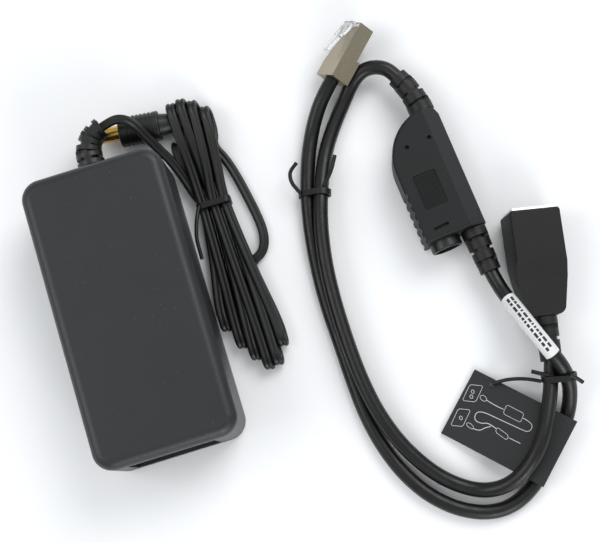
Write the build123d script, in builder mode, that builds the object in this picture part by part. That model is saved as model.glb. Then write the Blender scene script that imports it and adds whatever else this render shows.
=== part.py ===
"""Inline power injector for a data cable: mains brick with a barrel-plug lead, and injector lead.

Row frame, millimetres: +Z up, the floor at z = 0, the brick's long side along Y.
The brick stands at -X. The injector lead lies at +X and lifts off as a separate unit.
"""
import os
from math import cos, hypot, pi, radians, sin, tan

from build123d import *

os.makedirs("parts", exist_ok=True)


def finish_part(builder, name):
    """Label a finished piece and write its STEP file."""
    builder.part.label = name
    export_step(builder.part, f"parts/{name}.step")


# ---------------------------------------------------------------- driving dimensions
# Mains brick
brick_x = -51.0            # centre of the brick
brick_w = 51.0
brick_l = 104.0
brick_back = 52.0          # end wall with the cord's boot
brick_front = brick_back - brick_l
brick_h = 33.5
case_wall = 2.2
corner_r = 7.0             # upright corners of the case
top_fillet = 3.8
bottom_chamfer = 0.8
brick_parting = 15.0       # height of the joint between the two shells
lip_h = 1.6                # locating lip of the lower shell
lip_t = 1.0
fit_gap = 0.15             # clearance between assembled plastic pieces

# Mains inlet, three blades
inlet_w = 30.0
inlet_h = 22.0
inlet_depth = 20.0
inlet_recess = 1.5         # face of the inlet behind the end wall
inlet_gap = 0.3            # around the inlet in its window
inlet_z = 16.8             # centre height
cavity_w = 24.6
cavity_h = 16.6
cavity_depth = 16.5
cavity_corner = 4.5
blade_t = 2.0
blade_w = 4.0
blade_pitch = 7.0          # side blades from the centre
blade_rise = 2.0           # side blades below and middle blade above the centre
blade_back = 2.0           # blade tips behind the inlet's face
blade_tail = 4.0           # solder tags behind the inlet

# Power board inside the brick
board_t = 1.6
board_z = 6.6              # underside
board_gap = 1.2            # around the board
post_d = 5.0
bulk_cap_d = 16.0
bulk_cap_h = 20.0
output_cap_d = 10.0
output_cap_h = 16.0
core_w = 26.0              # transformer core, two windows
core_t = 12.0
core_h = 20.0
core_leg = 4.0
core_mid_leg = 6.0
winding_gap = 0.25
sink_t = 1.8
sink_h = 20.0

# Low-voltage cord and barrel plug
cord_w = 3.5               # flat twin cord, over both cores
boot_d = 10.4              # brick's strain relief at its widest rib
boot_tip_d = 8.0
boot_core_d = 6.4
boot_ribs = 7
boot_rib_t = 1.7
boot_run = 6.5             # straight stretch outside the end wall
boot_bend_r = 9.9
boot_turn = 73.0           # degrees, towards +X
barrel_od = 5.5
barrel_bore = 2.1
barrel_l = 9.5
plug_d = 10.9
plug_l = 15.0
plug_tail_l = 11.0
plug_tail_d = 5.0
plug_heading = -6.7        # degrees from +X
hank_h = 9.0
tie_w = 2.2
tie_t = 0.7

# Injector module
module_x = 64.25
module_y = 14.0
module_turn = 5.0          # degrees about Z
module_h = 17.0
module_right = 10.5
module_low = -20.7
module_high = 25.0
module_wall = 1.8
module_parting = 8.5
ridge_u = 4.5              # where the top face meets the right-hand bevel
bevel_drop = 7.0
cable_u = 5.5              # cable axis in the module
grip_count = 6             # upright finger scallops in the left side
grip_pitch = 3.3
grip_r = 1.3
grip_deep = 0.6
module_edge_r = 1.2
panel_w = 8.6              # recessed knurled panel in the top face
panel_l = 13.0
panel_deep = 0.4
sink_mark = 1.2            # two round sinks and a slot in the top face

# Barrel jack
jack_od = 11.2
jack_proud = 3.6
jack_depth = 13.5
jack_bore = 5.8
jack_bore_l = 10.5
jack_mouth_d = 9.0
jack_mouth_l = 1.2
jack_pin_d = 2.05
jack_pin_l = 9.0
leaf_t = 0.3
leaf_w = 2.0
leaf_l = 7.0

# Round data cable and its strain reliefs
cable_d = 5.3
relief_d = 9.2
relief_tip_d = 7.6
relief_core_d = 6.2
relief_l = 16.5
relief_rings = 4
relief_gap = 1.3
relief_web = 3.2
relief_clear = 0.3         # first ring to the wall
upper_bend_r = 38.3        # the upper relief bends this way, towards -X
jack_gap = 0.7             # between the jack's boss and the cable's relief
jack_side = 1.6            # module's left side beyond the boss
jack_u = cable_u - (relief_d + jack_od) / 2 - jack_gap
module_left = jack_u - jack_od / 2 - jack_side
neck_d = 5.8               # through the wall of a case
flange_d = 8.0             # holds the relief behind the wall
flange_t = 1.4

# Shielded eight-way plug
rj_w = 11.6
rj_l = 22.0
rj_h = 6.2                 # nose
rj_rear_h = 7.6            # crimped rear
rj_rear_l = 9.5
rj_shield_t = 0.25
rj_pitch = 1.02
rj_ways = 8
rj_x = 40.1                # cable exit at the rear face
rj_y = 61.6
rj_z = 7.4
rj_heading = 44.6          # degrees from +X to the nose
rj_roll = 54.0             # latch side leans to the left
latch_t = 1.0
latch_w = 6.2
latch_l = 13.5
latch_rise = 3.2

# Eight-way inline socket
sock_w = 18.2
sock_h = 14.5
sock_front_l = 24.2
sock_l = 37.5
sock_slope_l = 6.7         # sloping stretch behind the top face
sock_rear_top = 4.4
sock_rear_w = 12.8
sock_rear_r = 3.2          # upright corners at the cable end
sock_x = 92.4              # centre of the mouth
sock_y = -6.7
sock_z = 8.9
sock_turn = -10.0          # degrees about Z
sock_roll = 9.0
sock_shield_w = 15.8
sock_shield_h = 12.2
sock_shield_l = 17.0
sock_shield_t = 0.3
sock_cav_w = 11.9
sock_cav_h = 6.9
sock_cav_l = 12.5
sock_key_w = 6.4           # latch keyway under the cavity
sock_key_h = 1.9
sock_relief_l = 15.5
sock_relief_d = 8.4

# Hang tag and its string
tag_w = 40.0
tag_h = 25.6
tag_leaf_t = 0.4           # folded card
tag_gap = 0.2
tag_fold = 0.8             # depth of the fold along one long edge
tag_tilt = 10.5
tag_heading = -45.5        # direction of the long side
tag_x = 57.6               # near corner, on the floor
tag_y = -53.7
tag_lift = 0.3
tag_hole_d = 1.8
tag_hole_x = 7.8
tag_hole_y = -2.0
string_d = 1.3

# ---------------------------------------------------------------- work planes
module_plane = Plane(
    origin=(module_x, module_y, 0),
    x_dir=(cos(radians(module_turn)), sin(radians(module_turn)), 0),
    z_dir=(0, 0, 1),
)


def cross_plane(base, u, v, z, reverse=False):
    """Plane across a unit's own Y axis: its X is the unit's X and its Y is the unit's Z."""
    x_dir = base.x_dir if not reverse else -base.x_dir
    normal = -base.y_dir if not reverse else base.y_dir
    return Plane(origin=base.from_local_coords(Vector(u, v, z)), x_dir=x_dir, z_dir=normal)


def rolled_plane(x, y, z, heading, roll):
    """Plane whose Y points along heading, turned about that line so its left side lifts."""
    ahead = Vector(cos(radians(heading)), sin(radians(heading)), 0)
    right = Vector(sin(radians(heading)), -cos(radians(heading)), 0)
    up = Vector(0, 0, 1)
    tilt = radians(roll)
    normal = up * cos(tilt) + right * sin(tilt)
    return Plane(origin=(x, y, z), x_dir=ahead.cross(normal), z_dir=normal)


rj_plane = rolled_plane(rj_x, rj_y, rj_z, rj_heading, -rj_roll)
sock_plane = rolled_plane(sock_x, sock_y, sock_z, 90.0 + sock_turn, sock_roll)


# ---------------------------------------------------------------- cord routes
def corner_radii(points):
    """Largest tangent arc for each corner: 0.45 of the shorter run over tan(half the turn)."""
    radii = []
    for before, at, after in zip(points, points[1:], points[2:]):
        run_in = Vector(*at) - Vector(*before)
        run_out = Vector(*after) - Vector(*at)
        half_turn = radians(run_in.get_angle(run_out)) / 2
        radii.append(0.45 * min(run_in.length, run_out.length) / tan(half_turn))
    return radii


def start_plane(points):
    """Plane across the first run of a route."""
    first, second = Vector(*points[0]), Vector(*points[1])
    return Plane(origin=first, z_dir=second - first)


def report_route(name, points, radii, diameter, builder):
    """Print the tightest arc, and the volume beside section times length."""
    section = pi * diameter ** 2 / 4
    path = FilletPolyline(*points, radius=radii, mode=Mode.PRIVATE)
    print(
        f"{name}: length {path.length:.1f}, smallest radius {min(radii):.1f},"
        f" volume {builder.part.volume:.0f} of {section * path.length:.0f}"
    )


# Boot of the brick: straight out of the end wall, then round towards +X.
boot_x = brick_x - 0.5
boot_plane = Plane.XY.offset(brick_parting)
with BuildLine(boot_plane) as boot_path:
    boot_start = Line((boot_x, brick_back), (boot_x, brick_back + boot_run))
    JernArc(start=boot_start @ 1, tangent=boot_start % 1, radius=boot_bend_r, arc_size=-boot_turn)
boot_wire = boot_path.wires()[0]
boot_tip = boot_wire @ 1

dc_cord_points = [
    (boot_tip.X, boot_tip.Y, boot_tip.Z),
    (-41.3, 69.0, 15.1),
    (-38.0, 69.1, 15.7),
    (-34.9, 67.6, 15.8),
    (-32.5, 64.8, 15.1),
    (-30.4, 60.9, 13.2),
    (-27.8, 56.2, 10.6),
    (-24.3, 50.4, 7.5),
    (-21.6, 43.0, 5.3),
    (-19.5, 35.4, 4.4),
]
loose_turn_points = [
    (-8.6, 52.6, 2.6),
    (-5.4, 46.4, 2.0),
    (-3.3, 38.6, 1.9),
    (-1.7, 30.2, 1.9),
    (-0.5, 23.0, 1.9),
    (0.0, 17.2, 1.9),
    (-0.7, 12.6, 1.9),
    (-2.7, 9.2, 1.9),
    (-6.4, 7.4, 2.2),
]

# Lower exit of the module to the plug.
lower_exit = module_plane.from_local_coords(Vector(cable_u, module_low - relief_l, module_parting))
plug_cable_points = [
    (lower_exit.X, lower_exit.Y, lower_exit.Z),
    (73.8, -27.8, 9.0),
    (75.2, -33.8, 11.6),
    (77.2, -40.4, 14.8),
    (79.6, -47.8, 16.9),
    (82.6, -55.8, 17.2),
    (85.6, -62.4, 14.0),
    (86.8, -68.2, 9.0),
    (85.2, -74.9, 4.6),
    (81.2, -81.5, 2.9),
    (75.8, -87.6, 2.7),
    (69.6, -94.0, 2.7),
    (62.8, -99.6, 2.7),
    (55.2, -102.9, 2.7),
    (47.2, -102.9, 2.7),
    (39.6, -100.0, 2.7),
    (32.8, -95.2, 2.7),
    (26.6, -88.4, 2.7),
    (21.4, -79.2, 2.7),
    (17.8, -68.6, 2.7),
    (15.6, -57.0, 2.7),
    (14.9, -44.0, 2.7),
    (14.6, -30.5, 2.7),
    (14.1, -16.4, 2.7),
    (14.7, -2.6, 2.7),
    (16.3, 10.6, 3.5),
    (19.0, 24.0, 3.9),
    (23.2, 37.0, 3.3),
    (27.6, 46.4, 3.0),
    (31.9, 53.0, 5.2),
    (36.2, 57.9, 7.1),
    (rj_x, rj_y, rj_z),
]

# Upper exit of the module to the socket.
upper_start = module_plane.from_local_coords(Vector(cable_u, module_high, module_parting))
with BuildLine(Plane.XY.offset(module_parting)) as upper_path:
    JernArc(
        start=(upper_start.X, upper_start.Y),
        tangent=(module_plane.y_dir.X, module_plane.y_dir.Y),
        radius=upper_bend_r,
        arc_size=relief_l / upper_bend_r * 180 / pi,
    )
upper_wire = upper_path.wires()[0]
upper_exit = upper_wire @ 1
sock_exit = sock_plane.from_local_coords(Vector(0, -sock_l - sock_relief_l, 0))
socket_cable_points = [
    (upper_exit.X, upper_exit.Y, upper_exit.Z),
    (61.0, 58.4, 8.5),
    (57.6, 60.9, 8.2),
    (53.4, 61.9, 7.4),
    (49.3, 60.8, 6.0),
    (45.9, 58.0, 4.4),
    (42.3, 53.8, 3.3),
    (36.8, 47.4, 2.8),
    (31.0, 39.2, 2.9),
    (26.9, 30.6, 4.9),
    (23.5, 21.6, 6.9),
    (20.4, 11.2, 7.6),
    (18.0, -1.6, 7.8),
    (17.0, -15.6, 7.9),
    (17.0, -30.0, 7.9),
    (17.7, -44.4, 7.8),
    (19.8, -58.0, 7.2),
    (24.0, -70.4, 6.0),
    (29.6, -80.2, 4.6),
    (35.0, -86.8, 3.2),
    (41.0, -91.8, 2.8),
    (47.2, -95.0, 3.7),
    (53.8, -95.8, 6.6),
    (60.4, -93.8, 10.0),
    (66.6, -89.2, 12.0),
    (71.8, -83.2, 12.2),
    (76.0, -76.0, 11.2),
    (79.2, -69.4, 9.8),
    (81.4, -63.9, 9.0),
    (sock_exit.X, sock_exit.Y, sock_exit.Z),
]


# ---------------------------------------------------------------- shared shapes
def make_tube(name, points, diameter):
    """Round cord along straight runs joined by tangent arcs."""
    radii = corner_radii(points)
    with BuildPart() as tube:
        with BuildLine() as route:
            FilletPolyline(*points, radius=radii)
        with BuildSketch(start_plane(points)):
            Circle(diameter / 2)
        sweep(path=route.wires()[0])
    finish_part(tube, name)
    report_route(name, points, radii, diameter, tube)
    return route.wires()[0]


def make_relief(name, path, wide_d, tip_d, core_d, rings, gap, web, wall, flanged=True):
    """Flexible strain relief: core, rings that taper, webs across the gaps, neck, and perhaps a flange."""
    ring_l = (path.length - relief_clear - gap * (rings - 1)) / rings

    def across(distance):
        """Plane across the path, its X level."""
        share = min(distance / path.length, 1)
        ahead = path % share
        return Plane(origin=path @ share, x_dir=ahead.cross(Vector(0, 0, 1)), z_dir=ahead)

    with BuildPart() as relief:
        with BuildSketch(across(0)):
            Circle(core_d / 2)
        sweep(path=path)
        for ring in range(rings):
            start = relief_clear + ring * (ring_l + gap)
            ring_d = wide_d + (tip_d - wide_d) * ring / (rings - 1)
            with BuildSketch(across(start + ring_l / 2)):
                Circle(ring_d / 2)
            extrude(amount=ring_l / 2, both=True)
            if ring < rings - 1:
                with BuildSketch(across(start + ring_l + gap / 2)):
                    Rectangle(ring_d - 0.6, web, rotation=90 * (ring % 2))
                extrude(amount=gap / 2 + 0.2, both=True)
        with BuildSketch(across(0)):
            Circle(neck_d / 2)
        extrude(amount=-(wall + fit_gap))
        if flanged:
            with BuildSketch(across(0).offset(-(wall + fit_gap))):
                Circle(flange_d / 2)
            extrude(amount=-flange_t)
    finish_part(relief, name)


# ---------------------------------------------------------------- brick: case
brick_plane = Plane((brick_x, (brick_back + brick_front) / 2, 0))
inlet_plane = Plane((brick_x, brick_front, inlet_z), x_dir=(1, 0, 0), z_dir=(0, -1, 0))
boot_wall_plane = Plane((boot_x, brick_back, brick_parting), x_dir=(1, 0, 0), z_dir=(0, 1, 0))
room_w = brick_w - 2 * case_wall
room_l = brick_l - 2 * case_wall
room_r = corner_r - case_wall
board_top = board_z + board_t
board_w = room_w - 2 * board_gap
board_front = brick_front + inlet_recess + inlet_depth + board_gap
board_back = brick_back - case_wall - board_gap - flange_t
board_l = board_back - board_front
board_y = (board_front + board_back) / 2
post_x = board_w / 2 - post_d
post_y = board_l / 2 - post_d

with BuildPart() as brick_bottom_case:
    with BuildSketch(brick_plane):
        RectangleRounded(brick_w, brick_l, corner_r)
    extrude(amount=brick_parting)
    chamfer(faces().sort_by(Axis.Z)[0].edges(), bottom_chamfer)
    with BuildSketch(brick_plane.offset(case_wall)):
        RectangleRounded(room_w, room_l, room_r)
    extrude(amount=brick_parting - case_wall, mode=Mode.SUBTRACT)
    with BuildSketch(brick_plane.offset(brick_parting)):
        RectangleRounded(room_w + 2 * lip_t, room_l + 2 * lip_t, room_r + lip_t)
        RectangleRounded(room_w, room_l, room_r, mode=Mode.SUBTRACT)
    extrude(amount=lip_h)
    with BuildSketch(Plane((brick_x, board_y, case_wall))):
        with GridLocations(2 * post_x, 2 * post_y, 2, 2):
            Circle(post_d / 2)
    extrude(amount=board_z - case_wall)
    with BuildSketch(inlet_plane):
        Rectangle(inlet_w + 2 * inlet_gap, inlet_h + 2 * inlet_gap)
    extrude(amount=-2 * case_wall, mode=Mode.SUBTRACT)
    with BuildSketch(boot_wall_plane):
        Circle(neck_d / 2 + fit_gap)
    extrude(amount=-2 * case_wall, mode=Mode.SUBTRACT)
finish_part(brick_bottom_case, "brick_bottom_case")

with BuildPart() as brick_top_case:
    with BuildSketch(brick_plane.offset(brick_parting)):
        RectangleRounded(brick_w, brick_l, corner_r)
    extrude(amount=brick_h - brick_parting)
    fillet(faces().sort_by(Axis.Z)[-1].edges(), top_fillet)
    with BuildSketch(brick_plane.offset(brick_parting)):
        RectangleRounded(room_w, room_l, room_r)
    extrude(amount=brick_h - brick_parting - case_wall, mode=Mode.SUBTRACT)
    with BuildSketch(brick_plane.offset(brick_parting)):
        rebate = 2 * (lip_t + fit_gap)
        RectangleRounded(room_w + rebate, room_l + rebate, room_r + rebate / 2)
    extrude(amount=lip_h + fit_gap, mode=Mode.SUBTRACT)
    with BuildSketch(inlet_plane):
        Rectangle(inlet_w + 2 * inlet_gap, inlet_h + 2 * inlet_gap)
    extrude(amount=-2 * case_wall, mode=Mode.SUBTRACT)
    with BuildSketch(boot_wall_plane):
        Circle(neck_d / 2 + fit_gap)
    extrude(amount=-2 * case_wall, mode=Mode.SUBTRACT)
finish_part(brick_top_case, "brick_top_case")

# ---------------------------------------------------------------- brick: mains inlet
inlet_face = inlet_plane.offset(-inlet_recess)
inlet_flange = 2.0          # stands out all round, behind the end wall
inlet_flange_t = 2.0
blade_front = blade_back
blade_back_end = inlet_depth + blade_tail

with BuildPart() as ac_inlet_body:
    with BuildSketch(inlet_face):
        RectangleRounded(inlet_w, inlet_h, 1.5)
    extrude(amount=-inlet_depth)
    with BuildSketch(inlet_plane.offset(-case_wall - fit_gap)):
        Rectangle(inlet_w + 2 * inlet_flange, inlet_h + 2 * inlet_flange)
    extrude(amount=-inlet_flange_t)
    with BuildSketch(inlet_face) as cavity:
        Rectangle(cavity_w, cavity_h)
        chamfer(cavity.vertices().group_by(Axis.Y)[-1], cavity_corner)
        fillet(cavity.vertices().group_by(Axis.Y)[0], 1.0)
    extrude(amount=-cavity_depth, mode=Mode.SUBTRACT)
    with BuildSketch(inlet_face.offset(-cavity_depth)):
        with Locations((-blade_pitch, -blade_rise), (blade_pitch, -blade_rise), (0, blade_rise)):
            Rectangle(blade_t, blade_w)
    extrude(amount=-inlet_depth, mode=Mode.SUBTRACT)
finish_part(ac_inlet_body, "ac_inlet_body")

with BuildPart() as inlet_blades:
    with BuildSketch(inlet_face.offset(-blade_front)):
        with Locations((-blade_pitch, -blade_rise), (blade_pitch, -blade_rise), (0, blade_rise)):
            Rectangle(blade_t, blade_w)
    extrude(amount=-(blade_back_end - blade_front))
    chamfer(faces().sort_by(Axis.Y)[:3].edges(), 0.4)
finish_part(inlet_blades, "inlet_blades")

# Solder leads from the blades down to the board.
lead_d = 1.4
lead_y = brick_front + inlet_recess + blade_back_end - lead_d
with BuildPart() as inlet_leads:
    side_height = inlet_z - blade_rise - blade_w / 2 - board_top
    with BuildSketch(Plane((brick_x, lead_y, board_top))):
        with Locations((-blade_pitch, 0), (blade_pitch, 0)):
            Circle(lead_d / 2)
    extrude(amount=side_height)
    with BuildSketch(Plane((brick_x, lead_y, board_top))):
        Circle(lead_d / 2)
    extrude(amount=side_height + 2 * blade_rise)
finish_part(inlet_leads, "inlet_leads")

# ---------------------------------------------------------------- brick: power board
board_plane = Plane((brick_x, 0, board_top))


def box_on_board(name, x, y, size_x, size_y, size_z, edge=0.5):
    """Rectangular component standing on the power board."""
    with BuildPart() as component:
        with BuildSketch(board_plane):
            with Locations((x, y)):
                RectangleRounded(size_x, size_y, edge)
        extrude(amount=size_z)
    finish_part(component, name)


with BuildPart() as brick_board:
    with BuildSketch(Plane((brick_x, board_y, board_z))):
        RectangleRounded(board_w, board_l, 3.0)
    extrude(amount=board_t)
finish_part(brick_board, "brick_board")

with BuildPart() as input_fuse:
    fuse_d = 5.2
    with BuildSketch(Plane((brick_x - 17.0, board_front + 5.0, board_top + fuse_d / 2), z_dir=(0, 1, 0))):
        Circle(fuse_d / 2)
    extrude(amount=15.0)
finish_part(input_fuse, "input_fuse")

box_on_board("x_capacitor", -4.6, board_front + 10.5, 17.0, 8.0, 15.0)
box_on_board("bridge_rectifier", -18.0, board_front + 29.0, 4.0, 15.0, 11.0)
box_on_board("y_capacitor", 17.0, board_front + 47.0, 4.0, 8.0, 7.0)
box_on_board("control_chips", -17.0, board_front + 52.0, 6.0, 9.0, 3.5)

with BuildPart() as line_filter_choke:
    with BuildSketch(board_plane):
        with Locations((13.5, board_front + 13.5)):
            Circle(8.0)
            Circle(3.6, mode=Mode.SUBTRACT)
    extrude(amount=9.0)
    fillet(edges().filter_by(GeomType.CIRCLE), 1.5)
finish_part(line_filter_choke, "line_filter_choke")

with BuildPart() as bulk_capacitor:
    with BuildSketch(board_plane):
        with Locations((11.0, board_front + 32.0)):
            Circle(bulk_cap_d / 2)
    extrude(amount=bulk_cap_h)
    fillet(edges().filter_by(GeomType.CIRCLE), 0.8)
finish_part(bulk_capacitor, "bulk_capacitor")

core_y = board_front + 55.0
core_plane = Plane((brick_x, core_y, board_top), x_dir=(1, 0, 0), z_dir=(0, -1, 0))
window_w = (core_w - 2 * core_leg - core_mid_leg) / 2
window_h = core_h - 2 * core_leg
with BuildPart() as transformer_core:
    with BuildSketch(core_plane):
        with Locations((0, core_h / 2)):
            Rectangle(core_w, core_h)
            with GridLocations(core_mid_leg + window_w, 0, 2, 1):
                Rectangle(window_w, window_h, mode=Mode.SUBTRACT)
    extrude(amount=core_t / 2, both=True)
finish_part(transformer_core, "transformer_core")

winding_t = window_w - 2 * winding_gap
with BuildPart() as transformer_winding:
    with BuildSketch(Plane((brick_x, core_y, board_top + core_leg + winding_gap))):
        outer_w = core_mid_leg + 2 * (winding_gap + winding_t)
        outer_l = core_t + 2 * (winding_gap + winding_t)
        RectangleRounded(outer_w, outer_l, winding_t)
        Rectangle(core_mid_leg + 2 * winding_gap, core_t + 2 * winding_gap, mode=Mode.SUBTRACT)
    extrude(amount=window_h - 2 * winding_gap)
finish_part(transformer_winding, "transformer_winding")

switch_l = 10.0
switch_t = 4.5
with BuildPart() as primary_heatsink:
    with BuildSketch(board_plane):
        with Locations((-11.5, board_front + 31.0)):
            Rectangle(sink_t, 24.0)
    extrude(amount=sink_h)
finish_part(primary_heatsink, "primary_heatsink")
switch_x = -11.5 + (sink_t + switch_t) / 2
box_on_board("power_switch", switch_x, board_front + 33.0, switch_t, switch_l, 15.0, 0.4)

with BuildPart() as output_heatsink:
    with BuildSketch(board_plane):
        with Locations((-4.0, board_back - 3.0)):
            Rectangle(26.0, sink_t)
    extrude(amount=sink_h - 4.0)
finish_part(output_heatsink, "output_heatsink")

with BuildPart() as output_capacitors:
    with BuildSketch(board_plane):
        with Locations((-14.5, board_back - 10.5), (15.5, board_back - 10.5)):
            Circle(output_cap_d / 2)
    extrude(amount=output_cap_h)
    fillet(edges().filter_by(GeomType.CIRCLE), 0.6)
finish_part(output_capacitors, "output_capacitors")

# ---------------------------------------------------------------- low-voltage cord
make_relief(
    "brick_strain_relief",
    boot_wire,
    boot_d,
    boot_tip_d,
    boot_core_d,
    boot_ribs,
    (boot_wire.length - relief_clear - boot_ribs * boot_rib_t) / (boot_ribs - 1),
    relief_web,
    case_wall,
)
make_tube("dc_cord", dc_cord_points, cord_w)
make_tube("dc_cord_loose_turn", loose_turn_points, cord_w)

hank_outline = [
    (-24.2, 62.0),
    (-20.5, 71.0),
    (-11.5, 70.6),
    (-5.4, 62.0),
    (-6.0, 48.0),
    (-7.7, 32.0),
    (-5.6, 10.0),
    (-3.6, -12.0),
    (-4.6, -28.5),
    (-9.8, -32.5),
    (-17.0, -27.0),
    (-22.6, -16.0),
    (-24.2, 2.0),
    (-22.2, 20.0),
    (-20.3, 32.0),
    (-22.6, 46.0),
]
hank_waist_y = 31.0
hank_waist_left = -20.4
hank_waist_right = -7.7
with BuildPart() as dc_cord_hank:
    with BuildSketch(Plane.XY):
        with BuildLine():
            Spline(*hank_outline, periodic=True)
        make_face()
    extrude(amount=hank_h)
finish_part(dc_cord_hank, "dc_cord_hank")

# Tie round the hank's waist, with its twisted tail laid along the hank.
with BuildPart() as hank_tie:
    waist_w = hank_waist_right - hank_waist_left
    waist_x = (hank_waist_right + hank_waist_left) / 2
    with BuildSketch(Plane((waist_x, hank_waist_y, hank_h / 2), x_dir=(1, 0, 0), z_dir=(0, -1, 0))):
        RectangleRounded(waist_w, hank_h, 2.0)
        RectangleRounded(waist_w - 2 * tie_t, hank_h - 2 * tie_t, 2.0 - tie_t, mode=Mode.SUBTRACT)
    extrude(amount=tie_w / 2, both=True)
    tail_points = [
        (hank_waist_left + 1.0, hank_waist_y, hank_h - 0.2),
        (-21.6, 26.0, 10.2),
        (-23.4, 20.0, 10.4),
        (-23.6, 12.0, 9.9),
    ]
    with BuildLine() as tail_route:
        FilletPolyline(*tail_points, radius=corner_radii(tail_points))
    with BuildSketch(start_plane(tail_points)):
        Circle(tie_t)
    sweep(path=tail_route.wires()[0])
finish_part(hank_tie, "hank_tie")

# ---------------------------------------------------------------- low-voltage plug
plug_ahead = Vector(cos(radians(plug_heading)), sin(radians(plug_heading)), 0)
plug_z = plug_d / 2 + fit_gap
plug_face = Plane(origin=(-39.6, 66.8, plug_z), x_dir=plug_ahead.cross(Vector(0, 0, 1)), z_dir=plug_ahead)
sleeve_wall = 0.35
insulator_wall = (barrel_od - 2 * sleeve_wall - barrel_bore) / 2
grip_ridges = 7
ridge_pitch = 1.5
ridge_deep = 0.35

with BuildPart() as dc_plug_body:
    with BuildSketch(plug_face):
        Circle(plug_d / 2)
    extrude(amount=plug_l)
    fillet(edges().filter_by(GeomType.CIRCLE), 0.6)
    for ridge in range(grip_ridges):
        with BuildSketch(plug_face.offset(3.0 + ridge * ridge_pitch)):
            Circle(plug_d / 2 + fit_gap)
            Circle(plug_d / 2 - ridge_deep, mode=Mode.SUBTRACT)
        extrude(amount=ridge_pitch / 2, mode=Mode.SUBTRACT)
    with BuildSketch(plug_face.offset(plug_l)):
        Circle(plug_d / 2 - 1.2)
    with BuildSketch(plug_face.offset(plug_l + plug_tail_l)):
        Circle(plug_tail_d / 2)
    loft()
finish_part(dc_plug_body, "dc_plug_body")

with BuildPart() as dc_plug_barrel:
    with BuildSketch(plug_face):
        Circle(barrel_od / 2)
        Circle(barrel_od / 2 - sleeve_wall, mode=Mode.SUBTRACT)
    extrude(amount=-barrel_l)
finish_part(dc_plug_barrel, "dc_plug_barrel")

with BuildPart() as dc_plug_insulator:
    with BuildSketch(plug_face):
        Circle(barrel_od / 2 - sleeve_wall)
        Circle(barrel_bore / 2, mode=Mode.SUBTRACT)
    extrude(amount=-(barrel_l - 0.3))
finish_part(dc_plug_insulator, "dc_plug_insulator")

# ---------------------------------------------------------------- injector module: shells
def module_outline(inset):
    """Plan of the module, drawn in by inset all round: one side straight, one rounded off."""
    with BuildSketch() as outline:
        with BuildLine():
            right_end = (module_right, module_high - 2.6)
            collar_right = (module_right - 1.3, module_high)
            collar_left = (cable_u - flange_d / 2, module_high)
            shoulder = (-0.5, module_high - 1.0)
            left_top = (module_left, 6.0)
            Polyline((module_left, module_low), (module_right, module_low), right_end, collar_right)
            Polyline(collar_right, collar_left, shoulder)
            ThreePointArc(shoulder, (-9.8, 16.3), left_top)
            Line(left_top, (module_left, module_low))
        make_face()
        if inset:
            offset(amount=-inset, kind=Kind.INTERSECTION, mode=Mode.REPLACE)
    return outline.sketch


def module_block(inset):
    """Solid of the module drawn in by inset: the plan, bevelled off above and below on the right."""
    run = module_right - ridge_u
    slope = hypot(run, bevel_drop)
    top = module_h - inset
    ridge = ridge_u - inset * (slope - run) / bevel_drop
    knee = module_h - bevel_drop - inset * (slope - bevel_drop) / run
    edge = module_right - inset
    with BuildPart() as block:
        with BuildSketch(Plane.XY.offset(inset)):
            add(module_outline(inset))
        extrude(amount=module_h - 2 * inset)
        if not inset:
            fillet(faces().filter_by(Axis.Z).edges(), module_edge_r)
        with BuildSketch(Plane.XZ):
            with BuildLine():
                Polyline(
                    (ridge, top),
                    (edge, knee),
                    (edge + 5, knee),
                    (edge + 5, top + 5),
                    (ridge, top + 5),
                    close=True,
                )
            make_face()
            with BuildLine():
                low = inset
                Polyline(
                    (ridge, low),
                    (edge, module_h - knee),
                    (edge + 5, module_h - knee),
                    (edge + 5, low - 5),
                    (ridge, low - 5),
                    close=True,
                )
            make_face()
        extrude(amount=2 * module_high, both=True, mode=Mode.SUBTRACT)
    return module_plane * block.part


module_outer = module_block(0)
module_room = module_block(module_wall)
jack_mouth = cross_plane(module_plane, jack_u, module_low - jack_proud, module_parting)
lower_wall = cross_plane(module_plane, cable_u, module_low, module_parting)
upper_wall = cross_plane(module_plane, cable_u, module_high, module_parting, reverse=True)


def cut_exits():
    """Holes in the end walls of a module shell for the jack and the two strain reliefs."""
    with BuildPart(mode=Mode.PRIVATE) as holes:
        with BuildSketch(jack_mouth):
            Circle(jack_od / 2 + fit_gap)
        extrude(amount=-(jack_depth + fit_gap))
        for wall in (lower_wall, upper_wall):
            with BuildSketch(wall):
                Circle(neck_d / 2 + fit_gap)
            extrude(amount=-2 * module_wall)
            with BuildSketch(wall.offset(-module_wall)):
                Circle(flange_d / 2 + fit_gap)
            extrude(amount=-(flange_t + 2 * fit_gap))
    add(holes.part, mode=Mode.SUBTRACT)


grip_x = module_left - grip_r + grip_deep
grip_places = [(grip_x, -2.5 - grip * grip_pitch) for grip in range(grip_count)]
with BuildPart() as module_top_shell:
    add(module_outer)
    add(module_room, mode=Mode.SUBTRACT)
    split(bisect_by=module_plane.offset(module_parting), keep=Keep.TOP)
    cut_exits()
    with BuildSketch(module_plane.offset(module_h)):
        with Locations((-3.8, (3.3 - 10.0) / 2)):
            RectangleRounded(panel_w, panel_l, 1.0)
    extrude(amount=-panel_deep, mode=Mode.SUBTRACT)
    with BuildSketch(module_plane.offset(module_h)):
        with Locations((-5.5, 13.7), (3.1, 14.1)):
            Circle(0.8)
        with Locations((-5.2, -17.0)):
            SlotOverall(5.8, 1.1, rotation=4)
    extrude(amount=-sink_mark, mode=Mode.SUBTRACT)
    with BuildSketch(module_plane.offset(module_parting)):
        with Locations(*grip_places):
            Circle(grip_r)
    extrude(amount=module_h, mode=Mode.SUBTRACT)
finish_part(module_top_shell, "module_top_shell")

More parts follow.
